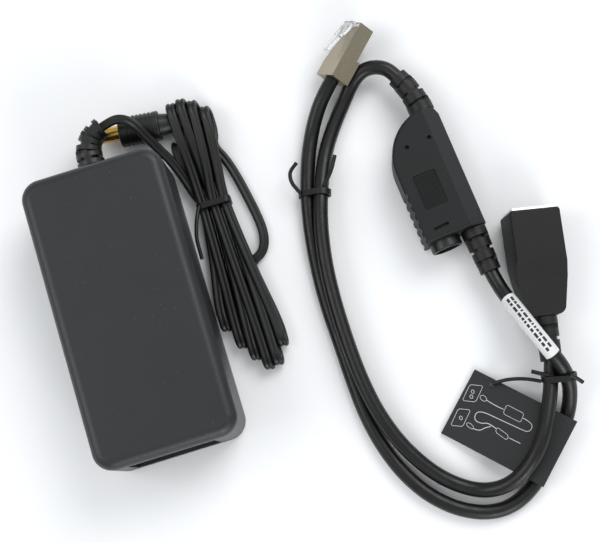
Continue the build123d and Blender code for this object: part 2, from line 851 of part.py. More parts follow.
with BuildPart() as module_bottom_shell:
    add(module_outer)
    add(module_room, mode=Mode.SUBTRACT)
    split(bisect_by=module_plane.offset(module_parting), keep=Keep.BOTTOM)
    cut_exits()
    with BuildSketch(module_plane):
        with Locations(*grip_places):
            Circle(grip_r)
    extrude(amount=module_parting, mode=Mode.SUBTRACT)
finish_part(module_bottom_shell, "module_bottom_shell")

# ---------------------------------------------------------------- injector module: inside
module_board_z = 5.0
module_board_low = module_low - jack_proud + jack_depth + 0.8
module_board_high = 13.0
with BuildPart() as module_board:
    with BuildSketch(module_plane.offset(module_board_z)):
        with Locations((-1.7, (module_board_low + module_board_high) / 2)):
            Rectangle(15.2, module_board_high - module_board_low)
    extrude(amount=board_t)
finish_part(module_board, "module_board")

with BuildPart() as pulse_transformer:
    with BuildSketch(module_plane.offset(module_board_z + board_t)):
        with Locations((-1.8, 2.0)):
            RectangleRounded(12.6, 15.5, 0.6)
    extrude(amount=6.2)
finish_part(pulse_transformer, "pulse_transformer")

with BuildPart() as surge_protector:
    with BuildSketch(module_plane.offset(module_board_z + board_t)):
        with Locations((-4.0, 11.2)):
            RectangleRounded(4.4, 2.6, 0.3)
        with Locations((2.6, 11.2)):
            RectangleRounded(4.4, 2.6, 0.3)
    extrude(amount=2.4)
finish_part(surge_protector, "surge_protector")

# ---------------------------------------------------------------- barrel jack
leaf_y = barrel_od / 2 - 0.25       # inner face of the leaf, springing on the plug's sleeve
leaf_room = 1.4                      # radial depth of its slot
leaf_root = jack_mouth_l + jack_bore_l - 0.8
with BuildPart() as dc_jack_body:
    with BuildSketch(jack_mouth):
        Circle(jack_od / 2)
    extrude(amount=-jack_depth)
    fillet(edges().filter_by(GeomType.CIRCLE), 0.5)
    with BuildSketch(jack_mouth):
        Circle(jack_mouth_d / 2)
    extrude(amount=-jack_mouth_l, mode=Mode.SUBTRACT)
    with BuildSketch(jack_mouth):
        Circle(jack_bore / 2)
    extrude(amount=-(jack_mouth_l + jack_bore_l), mode=Mode.SUBTRACT)
    with BuildSketch(jack_mouth.offset(-(leaf_root - leaf_l - 0.5))):
        with Locations((0, leaf_y + leaf_room / 2)):
            Rectangle(leaf_w + 0.6, leaf_room + 0.4)
    extrude(amount=-(leaf_l + 1.0), mode=Mode.SUBTRACT)
    with BuildSketch(jack_mouth):
        Circle(jack_pin_d / 2)
    extrude(amount=-jack_depth, mode=Mode.SUBTRACT)
finish_part(dc_jack_body, "dc_jack_body")

with BuildPart() as dc_jack_pin:
    with BuildSketch(jack_mouth.offset(-(jack_mouth_l + jack_bore_l - jack_pin_l))):
        Circle(jack_pin_d / 2)
    extrude(amount=-(jack_pin_l + jack_depth - jack_mouth_l - jack_bore_l))
    fillet(faces().sort_by(Axis.Y)[0].edges(), 0.6)
finish_part(dc_jack_pin, "dc_jack_pin")

with BuildPart() as dc_jack_spring:
    with BuildSketch(jack_mouth.offset(-(leaf_root - leaf_l))):
        with Locations((0, leaf_y + leaf_t / 2)):
            Rectangle(leaf_w, leaf_t)
    extrude(amount=-leaf_l)
finish_part(dc_jack_spring, "dc_jack_spring")

# ---------------------------------------------------------------- data cable and its reliefs
lower_line = Edge.make_line(
    module_plane.from_local_coords(Vector(cable_u, module_low, module_parting)),
    lower_exit,
)
relief_args = (relief_d, relief_tip_d, relief_core_d, relief_rings, relief_gap, relief_web, module_wall)
make_relief("lower_strain_relief", lower_line, *relief_args)
make_relief("upper_strain_relief", upper_wire, *relief_args)
plug_cable_path = make_tube("plug_cable", plug_cable_points, cable_d)
make_tube("socket_cable", socket_cable_points, cable_d)

# Wrap-round label on the lower run of the plug cable.
label_t = 0.3
label_edges = plug_cable_path.edges()[3:9]
label_wire = Wire(label_edges)
with BuildPart() as cable_label:
    with BuildSketch(Plane(origin=label_wire @ 0, z_dir=label_wire % 0)):
        Circle(cable_d / 2 + label_t)
        Circle(cable_d / 2, mode=Mode.SUBTRACT)
    sweep(path=label_wire)
finish_part(cable_label, "cable_label")

# ---------------------------------------------------------------- eight-way plug
# Local axes: X to the right, Y from the cable to the nose, Z to the latch side.
rj_top = rj_rear_h / 2
rj_front_low = rj_top - rj_h
clear_w = rj_w - 2 * rj_shield_t
contact_t = 0.35
contact_l = 5.2
contact_h = 2.2
contact_end = rj_l - 0.6
wire_d = 0.92
wire_z = 0.55
wire_start = 4.0
latch_root = rj_l - 0.6              # along Y
latch_gap = 0.5                      # under the latch's root
latch_pad = 0.3                      # raised seat under the root


def side_plane(base, x):
    """Plane along a unit's YZ: its X is the unit's Y and its Y is the unit's Z."""
    return Plane(origin=base.from_local_coords(Vector(x, 0, 0)), x_dir=base.y_dir, z_dir=base.x_dir)


with BuildPart() as rj45_plug_body:
    with BuildSketch(side_plane(rj_plane, 0)):
        with BuildLine():
            Polyline(
                (rj_shield_t, rj_shield_t - rj_top),
                (rj_rear_l, rj_shield_t - rj_top),
                (rj_rear_l, rj_front_low),
                (rj_l, rj_front_low),
                (rj_l, rj_top + latch_pad - rj_shield_t),
                (latch_root - 0.7, rj_top + latch_pad - rj_shield_t),
                (latch_root - 0.7, rj_top - rj_shield_t),
                (rj_shield_t, rj_top - rj_shield_t),
                close=True,
            )
        make_face()
    extrude(amount=clear_w / 2, both=True)
    with BuildSketch(rj_plane.offset(rj_front_low)):
        with Locations((0, contact_end - contact_l / 2)):
            with GridLocations(rj_pitch, 0, rj_ways, 1):
                Rectangle(contact_t, contact_l)
    extrude(amount=wire_z - wire_d / 2 - rj_front_low, mode=Mode.SUBTRACT)
    with BuildSketch(rj_plane.offset(wire_z - wire_d / 2 - 0.05)):
        with Locations((0, (wire_start + contact_end) / 2 - 1.3)):
            Rectangle(rj_ways * rj_pitch + 0.2, contact_end - wire_start - 2.6)
    extrude(amount=wire_d + 0.1, mode=Mode.SUBTRACT)
finish_part(rj45_plug_body, "rj45_plug_body")

with BuildPart() as plug_shield:
    with BuildSketch(side_plane(rj_plane, 0)):
        with BuildLine():
            Polyline(
                (0, -rj_top),
                (rj_rear_l, -rj_top),
                (rj_rear_l, rj_front_low),
                (rj_l, rj_front_low),
                (rj_l, rj_top),
                (0, rj_top),
                close=True,
            )
        make_face()
    extrude(amount=rj_w / 2, both=True)
    with BuildSketch(side_plane(rj_plane, 0)):
        with BuildLine():
            Polyline(
                (rj_shield_t, rj_shield_t - rj_top),
                (rj_rear_l, rj_shield_t - rj_top),
                (rj_rear_l, rj_front_low - 1),
                (rj_l + 1, rj_front_low - 1),
                (rj_l + 1, rj_top - rj_shield_t),
                (rj_shield_t, rj_top - rj_shield_t),
                close=True,
            )
        make_face()
    extrude(amount=clear_w / 2, both=True, mode=Mode.SUBTRACT)
    with BuildSketch(rj_plane):
        with BuildLine():
            Polyline(
                (-rj_w, 6.6),
                (-rj_w / 2, 6.6),
                (-2.4, 15.9),
                (1.5, latch_root - 1.6),
                (rj_w / 2 - rj_shield_t, latch_root - 1.0),
                (rj_w / 2 - rj_shield_t, rj_l + 1),
                (-rj_w, rj_l + 1),
                close=True,
            )
        make_face()
    extrude(amount=rj_l, both=True, mode=Mode.SUBTRACT)
finish_part(plug_shield, "plug_shield")

with BuildPart() as plug_contacts:
    with BuildSketch(rj_plane.offset(rj_front_low + 0.2)):
        with Locations((0, contact_end - contact_l / 2)):
            with GridLocations(rj_pitch, 0, rj_ways, 1):
                Rectangle(contact_t, contact_l)
    extrude(amount=contact_h)
finish_part(plug_contacts, "plug_contacts")

with BuildPart() as plug_wires:
    wire_plane = cross_plane(rj_plane, 0, contact_end - 2.8, wire_z)
    with BuildSketch(wire_plane):
        with GridLocations(rj_pitch, 0, rj_ways, 1):
            Circle(wire_d / 2)
    extrude(amount=contact_end - 2.8 - wire_start)
finish_part(plug_wires, "plug_wires")

latch_low = rj_top + latch_gap
latch_tail = latch_root - latch_l
latch_waist = latch_root - 6.0
with BuildPart() as plug_latch:
    with BuildSketch(side_plane(rj_plane, 0)):
        with BuildLine():
            Polyline(
                (latch_root + 0.5, latch_low),
                (latch_root + 0.5, latch_low + 0.7),
                (latch_root - 0.2, latch_low + latch_t),
                (latch_tail, latch_low + latch_rise + latch_t),
                (latch_tail, latch_low + latch_rise),
                (latch_root - 0.5, latch_low),
                close=True,
            )
        make_face()
    extrude(amount=latch_w / 2, both=True)
    for side in (-1, 1):
        with BuildSketch(rj_plane.offset(rj_top)):
            with Locations((side * latch_w / 2, (latch_tail + latch_waist) / 2)):
                Rectangle(2.6, latch_waist - latch_tail)
        extrude(amount=2 * latch_rise + latch_t, mode=Mode.SUBTRACT)
finish_part(plug_latch, "plug_latch")

# ---------------------------------------------------------------- eight-way inline socket
# Local axes: X to the right, Y out of the mouth, Z up.
sock_bond_l = 4.0                    # relief's neck inside the housing
insert_w = sock_shield_w - 2 * sock_shield_t
insert_h = sock_shield_h - 2 * sock_shield_t
shield_proud = 0.9
insert_recess = 0.4
contact_w = 0.45
comb_w = (rj_ways - 1) * rj_pitch + contact_w + 0.6
comb_deep = 1.3
cavity_top = sock_cav_h / 2

mouth_axis = Axis(sock_plane.origin, sock_plane.y_dir)
with BuildPart() as socket_housing:
    with BuildSketch(sock_plane.offset(-sock_h / 2)) as plan:
        with BuildLine():
            front, rear = sock_w / 2, sock_rear_w / 2
            Polyline(
                (-front, 0),
                (front, 0),
                (front, -sock_front_l),
                (rear, -sock_l),
                (-rear, -sock_l),
                (-front, -sock_front_l),
                close=True,
            )
        make_face()
    extrude(amount=sock_h)
    upright = edges().filter_by(Axis(sock_plane.origin, sock_plane.z_dir)).sort_by(mouth_axis)
    fillet(upright[-2:], 1.2)
    fillet(upright[:2], sock_rear_r)
    with BuildSketch(side_plane(sock_plane, 0)):
        with BuildLine():
            half = sock_h / 2
            Polyline(
                (0, -half),
                (0, half),
                (sock_slope_l - sock_front_l, half),
                (-sock_front_l, sock_rear_top),
                (-sock_l, sock_rear_top),
                (-sock_l, -sock_rear_top),
                (-sock_front_l, -sock_rear_top),
                (sock_slope_l - sock_front_l, -half),
                close=True,
            )
        make_face()
    extrude(amount=sock_w, both=True, mode=Mode.INTERSECT)
    fillet(edges().filter_by(Axis(sock_plane.origin, sock_plane.x_dir)).sort_by(mouth_axis)[-2:], 0.8)
    with BuildSketch(cross_plane(sock_plane, 0, 0, 0, reverse=True)):
        Rectangle(sock_shield_w, sock_shield_h)
    extrude(amount=-sock_shield_l, mode=Mode.SUBTRACT)
    with BuildSketch(cross_plane(sock_plane, 0, -sock_l, 0)):
        Circle(neck_d / 2)
    extrude(amount=-sock_bond_l, mode=Mode.SUBTRACT)
finish_part(socket_housing, "socket_housing")

with BuildPart() as socket_shield:
    with BuildSketch(cross_plane(sock_plane, 0, shield_proud, 0, reverse=True)):
        Rectangle(sock_shield_w, sock_shield_h)
        Rectangle(insert_w, insert_h, mode=Mode.SUBTRACT)
    extrude(amount=-(shield_proud + sock_shield_l))
finish_part(socket_shield, "socket_shield")

insert_face = cross_plane(sock_plane, 0, -insert_recess, 0, reverse=True)
with BuildPart() as socket_insert:
    with BuildSketch(insert_face):
        Rectangle(insert_w, insert_h)
        Rectangle(sock_cav_w, sock_cav_h, mode=Mode.SUBTRACT)
        with Locations((0, -(sock_cav_h + sock_key_h) / 2)):
            Rectangle(sock_key_w, sock_key_h, mode=Mode.SUBTRACT)
    extrude(amount=-sock_cav_l)
    with BuildSketch(insert_face.offset(-sock_cav_l)):
        Rectangle(insert_w, insert_h)
    extrude(amount=-(sock_shield_l - sock_cav_l - insert_recess))
    with BuildSketch(insert_face.offset(-0.8)):
        with Locations((0, cavity_top + comb_deep / 2)):
            Rectangle(comb_w, comb_deep)
    extrude(amount=-(sock_cav_l - 0.8), mode=Mode.SUBTRACT)
finish_part(socket_insert, "socket_insert")

spring_root = -insert_recess - 1.2   # along Y
spring_l = 9.0
spring_drop = 2.3
spring_t = 0.35
spring_z = cavity_top + comb_deep - 0.6
with BuildPart() as socket_contacts:
    for way in range(rj_ways):
        way_x = (way - (rj_ways - 1) / 2) * rj_pitch
        with BuildSketch(side_plane(sock_plane, way_x)):
            with BuildLine():
                Polyline(
                    (spring_root, spring_z),
                    (spring_root, spring_z - spring_t),
                    (spring_root - spring_l, spring_z - spring_t - spring_drop),
                    (spring_root - spring_l, spring_z - spring_drop),
                    close=True,
                )
            make_face()
        extrude(amount=contact_w / 2, both=True)
finish_part(socket_contacts, "socket_contacts")

sock_line = Edge.make_line(sock_plane.from_local_coords(Vector(0, -sock_l, 0)), sock_exit)
make_relief(
    "socket_strain_relief",
    sock_line,
    sock_relief_d,
    relief_tip_d,
    relief_core_d,
    relief_rings,
    relief_gap,
    relief_web,
    sock_bond_l - fit_gap,
    flanged=False,
)

# ---------------------------------------------------------------- hang tag and ties
tag_east = Vector(
    cos(radians(tag_heading)) * cos(radians(tag_tilt)),
    sin(radians(tag_heading)) * cos(radians(tag_tilt)),
    sin(radians(tag_tilt)),
)
tag_north = Vector(-sin(radians(tag_heading)), cos(radians(tag_heading)), 0)
tag_plane = Plane(origin=(tag_x, tag_y, tag_lift), x_dir=tag_east, z_dir=tag_east.cross(tag_north))
tag_t = 2 * tag_leaf_t + tag_gap

with BuildPart() as hang_tag:
    with BuildSketch(tag_plane):
        with Locations((tag_w / 2, -tag_h / 2)):
            Rectangle(tag_w, tag_h)
    extrude(amount=tag_t)
    with BuildSketch(tag_plane.offset(tag_leaf_t)):
        with Locations((tag_w / 2, -tag_h / 2 - tag_fold)):
            Rectangle(tag_w, tag_h)
    extrude(amount=tag_gap, mode=Mode.SUBTRACT)
    with BuildSketch(tag_plane):
        with Locations((tag_hole_x, tag_hole_y)):
            Circle(tag_hole_d / 2)
    extrude(amount=tag_t, mode=Mode.SUBTRACT)
finish_part(hang_tag, "hang_tag")

tag_hole = tag_plane.from_local_coords(Vector(tag_hole_x, tag_hole_y, tag_t))
tag_string_points = [
    (tag_hole.X, tag_hole.Y, tag_hole.Z + string_d / 2),
    (64.4, -60.3, 4.6),
    (68.0, -60.8, 6.2),
    (72.0, -62.0, 7.8),
    (75.4, -63.6, 9.0),
    (77.4, -64.8, 9.6),
]
make_tube("tag_string", tag_string_points, string_d)


def make_tie(name, middle, across, along, spread, tails):
    """Plastic-coated tie round two cables that lie spread apart, with the tails of its twist."""
    ring_plane = Plane(origin=middle, x_dir=across, z_dir=along)
    inner = cable_d + 2 * fit_gap
    with BuildPart() as tie:
        with BuildSketch(ring_plane):
            SlotCenterToCenter(spread, inner + 2 * tie_t)
            SlotCenterToCenter(spread, inner, mode=Mode.SUBTRACT)
        extrude(amount=tie_w / 2, both=True)
        for tail in tails:
            with BuildLine() as tail_line:
                FilletPolyline(*tail, radius=corner_radii(tail))
            with BuildSketch(start_plane(tail)):
                Circle(tie_t)
            sweep(path=tail_line.wires()[0])
    finish_part(tie, name)


make_tie(
    "cable_tie_upper",
    (21.85, 23.5, 5.07),
    (4.81, -1.21, 2.97),
    (0.29, 0.95, -0.08),
    5.8,
    [
        [(16.9, 25.2, 6.2), (14.9, 29.6, 7.2), (15.3, 33.4, 7.4), (18.8, 36.0, 7.4)],
        [(25.6, 24.6, 8.6), (29.6, 28.6, 9.0), (32.8, 34.2, 8.4)],
    ],
)
make_tie(
    "cable_tie_lower",
    (83.65, -65.2, 10.7),
    (4.9, -1.6, 2.9),
    (0.10, 0.87, 0.25),
    5.95,
    [
        [(80.6, -63.6, 12.4), (77.6, -62.2, 12.0), (75.2, -60.6, 11.0)],
        [(86.6, -65.8, 15.6), (88.6, -67.4, 15.0), (90.4, -69.4, 13.6)],
    ],
)
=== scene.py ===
# %% [markdown]
# # An inline power injector
# The object is a mains brick with its low-voltage cord wound into a hank, and a cable set with a
# moulded injector module, a shielded data plug and a data socket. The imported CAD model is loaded
# as a fixed frame, and every piece made here is placed from it, in metres.

# %% Load the frame
import bpy
import math
import random
from mathutils import Matrix, Vector


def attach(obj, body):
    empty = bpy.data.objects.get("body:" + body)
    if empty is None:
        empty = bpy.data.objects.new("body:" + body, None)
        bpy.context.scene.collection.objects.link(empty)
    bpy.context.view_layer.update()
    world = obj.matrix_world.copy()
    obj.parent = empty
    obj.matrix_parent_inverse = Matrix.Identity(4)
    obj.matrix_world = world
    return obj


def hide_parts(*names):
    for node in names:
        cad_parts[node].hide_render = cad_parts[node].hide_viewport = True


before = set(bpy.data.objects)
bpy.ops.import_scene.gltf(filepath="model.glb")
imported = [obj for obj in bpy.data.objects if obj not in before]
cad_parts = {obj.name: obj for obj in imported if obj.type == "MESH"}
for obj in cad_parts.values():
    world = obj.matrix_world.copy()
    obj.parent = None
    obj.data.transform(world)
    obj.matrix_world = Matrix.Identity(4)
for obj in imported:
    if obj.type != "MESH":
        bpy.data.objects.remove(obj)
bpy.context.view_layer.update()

MM = 0.001
SEED = 11
rng = random.Random(SEED)

# %% [markdown]
# ## The camera
# The set is seen almost from straight above, as on a copy stand. A camera could be aimed with a
# Track To constraint, but its roll would then need a second one. Its three axes are worked out
# here from azimuth, elevation and roll, and written into one matrix.

# %% Camera
CAMERA_PLACE = Vector((13.308, -80.844, 500.934)) * MM
CAMERA_AZIMUTH = math.radians(-3.48)
CAMERA_ELEVATION = math.radians(80.926)
CAMERA_ROLL = math.radians(-20.658)
LENS_MM = 84
SENSOR_MM = 36


def camera_axes(azimuth, elevation, roll):
    """Right, up and forward of a camera that looks along azimuth, tipped down and then rolled."""
    level = math.cos(elevation)
    forward = Vector((level * math.sin(azimuth), level * math.cos(azimuth), -math.sin(elevation)))
    side = Vector((math.cos(azimuth), -math.sin(azimuth), 0))
    over = side.cross(forward)
    right = side * math.cos(roll) + over * math.sin(roll)
    up = over * math.cos(roll) - side * math.sin(roll)
    return right, up, forward


lens = bpy.data.cameras.new("copy_stand_camera")
lens.lens = LENS_MM
lens.sensor_width = SENSOR_MM
lens.sensor_fit = "HORIZONTAL"
lens.clip_start = 0.01
camera = bpy.data.objects.new("copy_stand_camera", lens)
bpy.context.scene.collection.objects.link(camera)
right, up, forward = camera_axes(CAMERA_AZIMUTH, CAMERA_ELEVATION, CAMERA_ROLL)
turn = Matrix((right, up, -forward)).transposed().to_4x4()
camera.matrix_world = Matrix.Translation(CAMERA_PLACE) @ turn
bpy.context.scene.camera = camera
print("camera", round(CAMERA_PLACE.length, 3), "m from the middle of the set")

# %% [markdown]
# ## The cords
# A cord is a fixed length of something flexible, so its line comes first and its skin second. The
# line is a NURBS curve: it is smooth everywhere, and a few points pulled one by one lay it on the
# table, over another cord or round a corner. A Bezier curve would do as well, but its handles
# double what has to be kept in order.

# %% Route helper
LINE_STEPS = 12
ROUND_STEPS = 6


def route(name, points_mm):
    """A NURBS curve with points_mm as its control points, from its first point to its last."""
    line = bpy.data.curves.new(name, "CURVE")
    line.dimensions = "3D"
    spline = line.splines.new("NURBS")
    spline.points.add(len(points_mm) - 1)
    for point, place in zip(spline.points, points_mm):
        point.co = (*(Vector(place) * MM), 1)
    spline.order_u = 3
    spline.use_endpoint_u = True
    spline.resolution_u = LINE_STEPS
    piece = bpy.data.objects.new(name, line)
    bpy.context.scene.collection.objects.link(piece)
    return piece


def line_of(piece):
    """The places along a route, in metres, read from the curve with no bevel on it."""
    bpy.context.view_layer.update()
    mesh = bpy.data.meshes.new_from_object(piece)
    places = [v.co.copy() for v in mesh.vertices]
    bpy.data.meshes.remove(mesh)
    return places


def length_of(places):
    """The length of a line of places, in metres."""
    return sum((b - a).length for a, b in zip(places, places[1:]))


def alone(piece):
    """Selects one object and makes it active, with nothing else selected."""
    bpy.ops.object.select_all(action="DESELECT")
    piece.select_set(True)
    bpy.context.view_layer.objects.active = piece
    return piece


def rounded(piece, diameter_mm):
    """Gives a route a round section, closes its two ends, and makes it a mesh."""
    piece.data.bevel_depth = diameter_mm * MM / 2
    piece.data.bevel_resolution = ROUND_STEPS
    piece.data.use_fill_caps = True
    alone(piece)
    bpy.ops.object.convert(target="MESH")
    return piece


# %% [markdown]
# ### The data cable to the plug
# Round data cable, 5.3 mm thick, leaves the lower end of the module, lies in one wide loose turn
# on the table and rises to the data plug. Two wire ties hold it beside the other cable. A cylinder
# could be bent along it by a Curve modifier, but the curve's own round bevel keeps the thickness
# even where the cable turns tightly, so that is what becomes its skin.

# %% Data cable to the plug
CABLE_D = 5.3
PLUG_CABLE_ROUTE = [
    (72.97, -22.58, 8.5), (73.8, -27.8, 9.0), (75.2, -33.8, 11.6), (77.2, -40.4, 14.8),
    (79.6, -47.8, 16.9), (82.6, -55.8, 17.2), (85.6, -62.4, 14.0), (86.8, -68.2, 9.0),
    (85.2, -74.9, 4.6), (81.2, -81.5, 2.9), (75.8, -87.6, 2.7), (69.6, -94.0, 2.7),
    (62.8, -99.6, 2.7), (55.2, -102.9, 2.7), (47.2, -102.9, 2.7), (39.6, -100.0, 2.7),
    (32.8, -95.2, 2.7), (26.6, -88.4, 2.7), (21.4, -79.2, 2.7), (17.8, -68.6, 2.7),
    (15.6, -57.0, 2.7), (14.9, -44.0, 2.7), (14.6, -30.5, 2.7), (14.1, -16.4, 2.7),
    (14.7, -2.6, 2.7), (16.3, 10.6, 3.5), (19.0, 24.0, 3.9), (23.2, 37.0, 3.3),
    (27.6, 46.4, 3.0), (31.9, 53.0, 5.2), (36.2, 57.9, 7.1), (40.1, 61.6, 7.4),
]
plug_side_cable = route("plug_side_cable", PLUG_CABLE_ROUTE)
plug_side_line = line_of(plug_side_cable)
rounded(plug_side_cable, CABLE_D)
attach(plug_side_cable, "injector_lead")
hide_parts("plug_cable")
print("plug side cable", round(length_of(plug_side_line), 4), "m")

# %% [markdown]
# ### The data cable to the socket
# The same cable leaves the upper end of the module, turns back on itself, and runs beside the
# first one in the same wide turn, to end in the strain relief of the data socket. It could be a
# second spline of the first curve, but then both would be one piece, not two. Where the two lie
# over each other, this one is the upper, so its points are higher.

# %% Data cable to the socket
SOCKET_CABLE_ROUTE = [
    (62.67, 55.0, 8.5), (61.0, 58.4, 8.5), (57.6, 60.9, 8.2), (53.4, 61.9, 7.4),
    (49.3, 60.8, 6.0), (45.9, 58.0, 4.4), (42.3, 53.8, 3.3), (36.8, 47.4, 2.8),
    (31.0, 39.2, 2.9), (26.9, 30.6, 4.9), (23.5, 21.6, 6.9), (20.4, 11.2, 7.6),
    (18.0, -1.6, 7.8), (17.0, -15.6, 7.9), (17.0, -30.0, 7.9), (17.7, -44.4, 7.8),
    (19.8, -58.0, 7.2), (24.0, -70.4, 6.0), (29.6, -80.2, 4.6), (35.0, -86.8, 3.2),
    (41.0, -91.8, 2.8), (47.2, -95.0, 3.7), (53.8, -95.8, 6.6), (60.4, -93.8, 10.0),
    (66.6, -89.2, 12.0), (71.8, -83.2, 12.2), (76.0, -76.0, 11.2), (79.2, -69.4, 9.8),
    (81.4, -63.9, 9.0), (83.197, -58.895, 8.9),
]
socket_side_cable = route("socket_side_cable", SOCKET_CABLE_ROUTE)
socket_side_line = line_of(socket_side_cable)
rounded(socket_side_cable, CABLE_D)
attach(socket_side_cable, "injector_lead")
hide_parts("socket_cable")
print("socket side cable", round(length_of(socket_side_line), 4), "m")

# %% [markdown]
# ### The low-voltage cord and its hank
# The brick's cord is a flat twin: two thin cores side by side, 3.5 mm wide and half as thick. It
# leaves the brick's boot, is wound into a hank of six turns with a wire tie round its waist, and
# ends in the barrel plug, which the top of the hank holds. The turns lie flat: each goes down the
# hank near the table, folds, and comes back up above itself. They could all be drawn by hand, but
# a loop that works them out from where each one folds is easier to change. One way down is the
# slack turn that bulges out to the right of the tie.

# %% Low-voltage cord: the line
CORD_WIDTH = 3.5
CORD_THICK = 1.75
TIE_Y = 31
SUPPLY_CORD_START = [
    (-44.5, 68.0, 15.0), (-41.3, 69.0, 15.1), (-38.0, 69.1, 15.7), (-34.9, 67.6, 15.8),
    (-32.5, 64.8, 15.1), (-30.4, 60.9, 13.2), (-27.8, 56.2, 10.6), (-24.3, 50.4, 7.5),
    (-21.6, 43.0, 5.3), (-19.5, 35.4, 4.4),
]
SLACK_TURN = [
    (-8.6, 52.6, 2.6), (-5.4, 46.4, 2.0), (-3.3, 38.6, 1.9), (-1.7, 30.2, 1.9),
    (-0.5, 23.0, 1.9), (0.0, 17.2, 1.9), (-0.7, 12.6, 1.9), (-2.7, 9.2, 1.9),
    (-6.4, 7.4, 2.2),
]
SLACK_RETURN = [(-9.4, 4.2, 1.1), (-10.2, -3.0, 0.95)]
PLUG_END = [(-8.4, 58.0, 6.0), (-7.8, 62.6, 5.8), (-10.6, 64.2, 5.6), (-13.8, 63.8, 5.6)]
ON_TABLE = 0.95
FOLD_TOP = 6.0
LEG = 9.0
FOOT_STEP = 0.4      # half the sideways step between the two legs of a lower fold
HEAD_STEP = 0.5      # and of an upper fold
WAIST_HALF = 3.0     # half the length that runs straight through the tie
FAN_Y = 46.0         # where the turns fan out over the tie, give or take FAN_DRIFT
FAN_DRIFT = 2.0
# Each turn: x at the waist, height down and up at the waist, x and y of its lower fold.
TURNS = [
    (-18.2, 2.7, 4.5, -22.6, -14.0),
    (-18.2, 0.9, 6.3, -19.0, -21.5),
    (-14.1, 2.7, 4.5, -15.4, -27.0),
    (-14.1, 0.9, 6.3, -11.8, -31.5),
    (-10.0, 2.7, 6.3, -4.7, -25.0),
    (-10.0, 0.9, 4.5, -8.2, -31.0),
]
# The top fold after each turn but the last: x, y, and its height over and under the plug's tail.
TOP_FOLDS = [
    (-21.2, 57.0, 4.8, 1.0),
    (-18.7, 70.6, 10.5, 1.0),
    (-14.9, 71.4, 9.6, 1.0),
    (-11.1, 69.6, 9.2, 1.2),
    (-7.3, 66.2, 8.8, 1.4),
]


def along(a, b, share):
    """The value a share of the way from a to b."""
    return a + (b - a) * share


def halfway(waist, foot, foot_y):
    """x and y of the middle of a leg, between the tie and a lower fold."""
    return along(waist, foot, 0.5), along(TIE_Y, foot_y, 0.5)


def fanned():
    """A y over the tie, a little different for each turn."""
    return FAN_Y + rng.uniform(-FAN_DRIFT, FAN_DRIFT)


def hank_points():
    """The control points of the whole cord, from the boot to the plug's tail."""
    points = list(SUPPLY_CORD_START)
    head_x = SUPPLY_CORD_START[-1][0]
    for i, (waist, low, high, foot, foot_y) in enumerate(TURNS):
        slack = i == len(TURNS) - 1
        if slack:
            points += SLACK_TURN + SLACK_RETURN
        else:
            if i:
                points.append((along(head_x, waist, 0.55), fanned(), along(low, 2.0, 0.4)))
            points += [(waist, TIE_Y + WAIST_HALF, low), (waist, TIE_Y - WAIST_HALF, low)]
            points.append((*halfway(waist, foot, foot_y), along(low, 1.6, 0.5)))
        points.append((foot + FOOT_STEP, foot_y + LEG, ON_TABLE + 0.2))
        points.append((foot + FOOT_STEP, foot_y, ON_TABLE))
        points.append((foot - FOOT_STEP, foot_y, FOLD_TOP))
        points.append((foot - FOOT_STEP, foot_y + LEG, FOLD_TOP - 0.6))
        points.append((*halfway(waist, foot, foot_y), along(high, 5.6, 0.3)))
        points += [(waist, TIE_Y - WAIST_HALF, high), (waist, TIE_Y + WAIST_HALF, high)]
        if slack:
            points += PLUG_END
        else:
            head, head_y, over, under = TOP_FOLDS[i]
            points.append((along(waist, head, 0.5), fanned(), along(high, over, 0.3)))
            points.append((head - HEAD_STEP, head_y - LEG, over))
            points.append((head - HEAD_STEP, head_y, over))
            points.append((head + HEAD_STEP, head_y, under))
            points.append((head + HEAD_STEP, head_y - LEG, under))
            head_x = head + HEAD_STEP
    return points


supply_route = route("supply_cord_route", hank_points())
supply_line = line_of(supply_route)
bpy.data.objects.remove(supply_route)
print("supply cord", round(length_of(supply_line), 4), "m in", len(supply_line), "steps")

# %% [markdown]
# A curve's bevel could carry the twin section, but where the cord folds back above itself the
# curve's own twist flips it over. So the section is swept in code. Its flat side is carried along
# the line with no twist, and eased back to level wherever the cord runs level.

# %% Low-voltage cord: the skin
CORE_REACH = math.radians(142)   # how far round its core each half of the outline goes, both ways
CORE_STEPS = 6
LEVEL_ENOUGH = 0.3               # below this, the cord is too steep to be turned level


def twin_section():
    """The outline of two touching cores, in metres, centred on the cord's line."""
    radius = CORD_THICK * MM / 2
    centre = CORD_WIDTH * MM / 2 - radius
    half = []
    for k in range(CORE_STEPS + 1):
        angle = along(-CORE_REACH, CORE_REACH, k / CORE_STEPS)
        half.append((centre + radius * math.cos(angle), radius * math.sin(angle)))
    return half + [(-x, -y) for x, y in half]


def sweep(name, places, section, ease=0.12):
    """A tube that carries the section along the places, closed at both ends."""
    up_axis = Vector((0, 0, 1))
    across = up_axis.cross(places[1] - places[0]).normalized()
    verts = []
    for i, place in enumerate(places):
        ahead = (places[min(i + 1, len(places) - 1)] - places[max(i - 1, 0)]).normalized()
        across = (across - ahead * across.dot(ahead)).normalized()
        level = up_axis.cross(ahead)
        if level.length > LEVEL_ENOUGH:
            level.normalize()
            if level.dot(across) < 0:
                level.negate()
            across = across.lerp(level, ease).normalized()
        above = ahead.cross(across)
        verts += [place + across * x + above * y for x, y in section]
    n = len(section)
    faces = []
    for ring in range(len(places) - 1):
        for k in range(n):
            a = ring * n + k
            b = ring * n + (k + 1) % n
            faces.append((a, b, b + n, a + n))
    faces.append(tuple(reversed(range(n))))
    faces.append(tuple(range(len(verts) - n, len(verts))))
    mesh = bpy.data.meshes.new(name)
    mesh.from_pydata(verts, [], faces)
    mesh.update()
    piece = bpy.data.objects.new(name, mesh)
    bpy.context.scene.collection.objects.link(piece)
    return piece


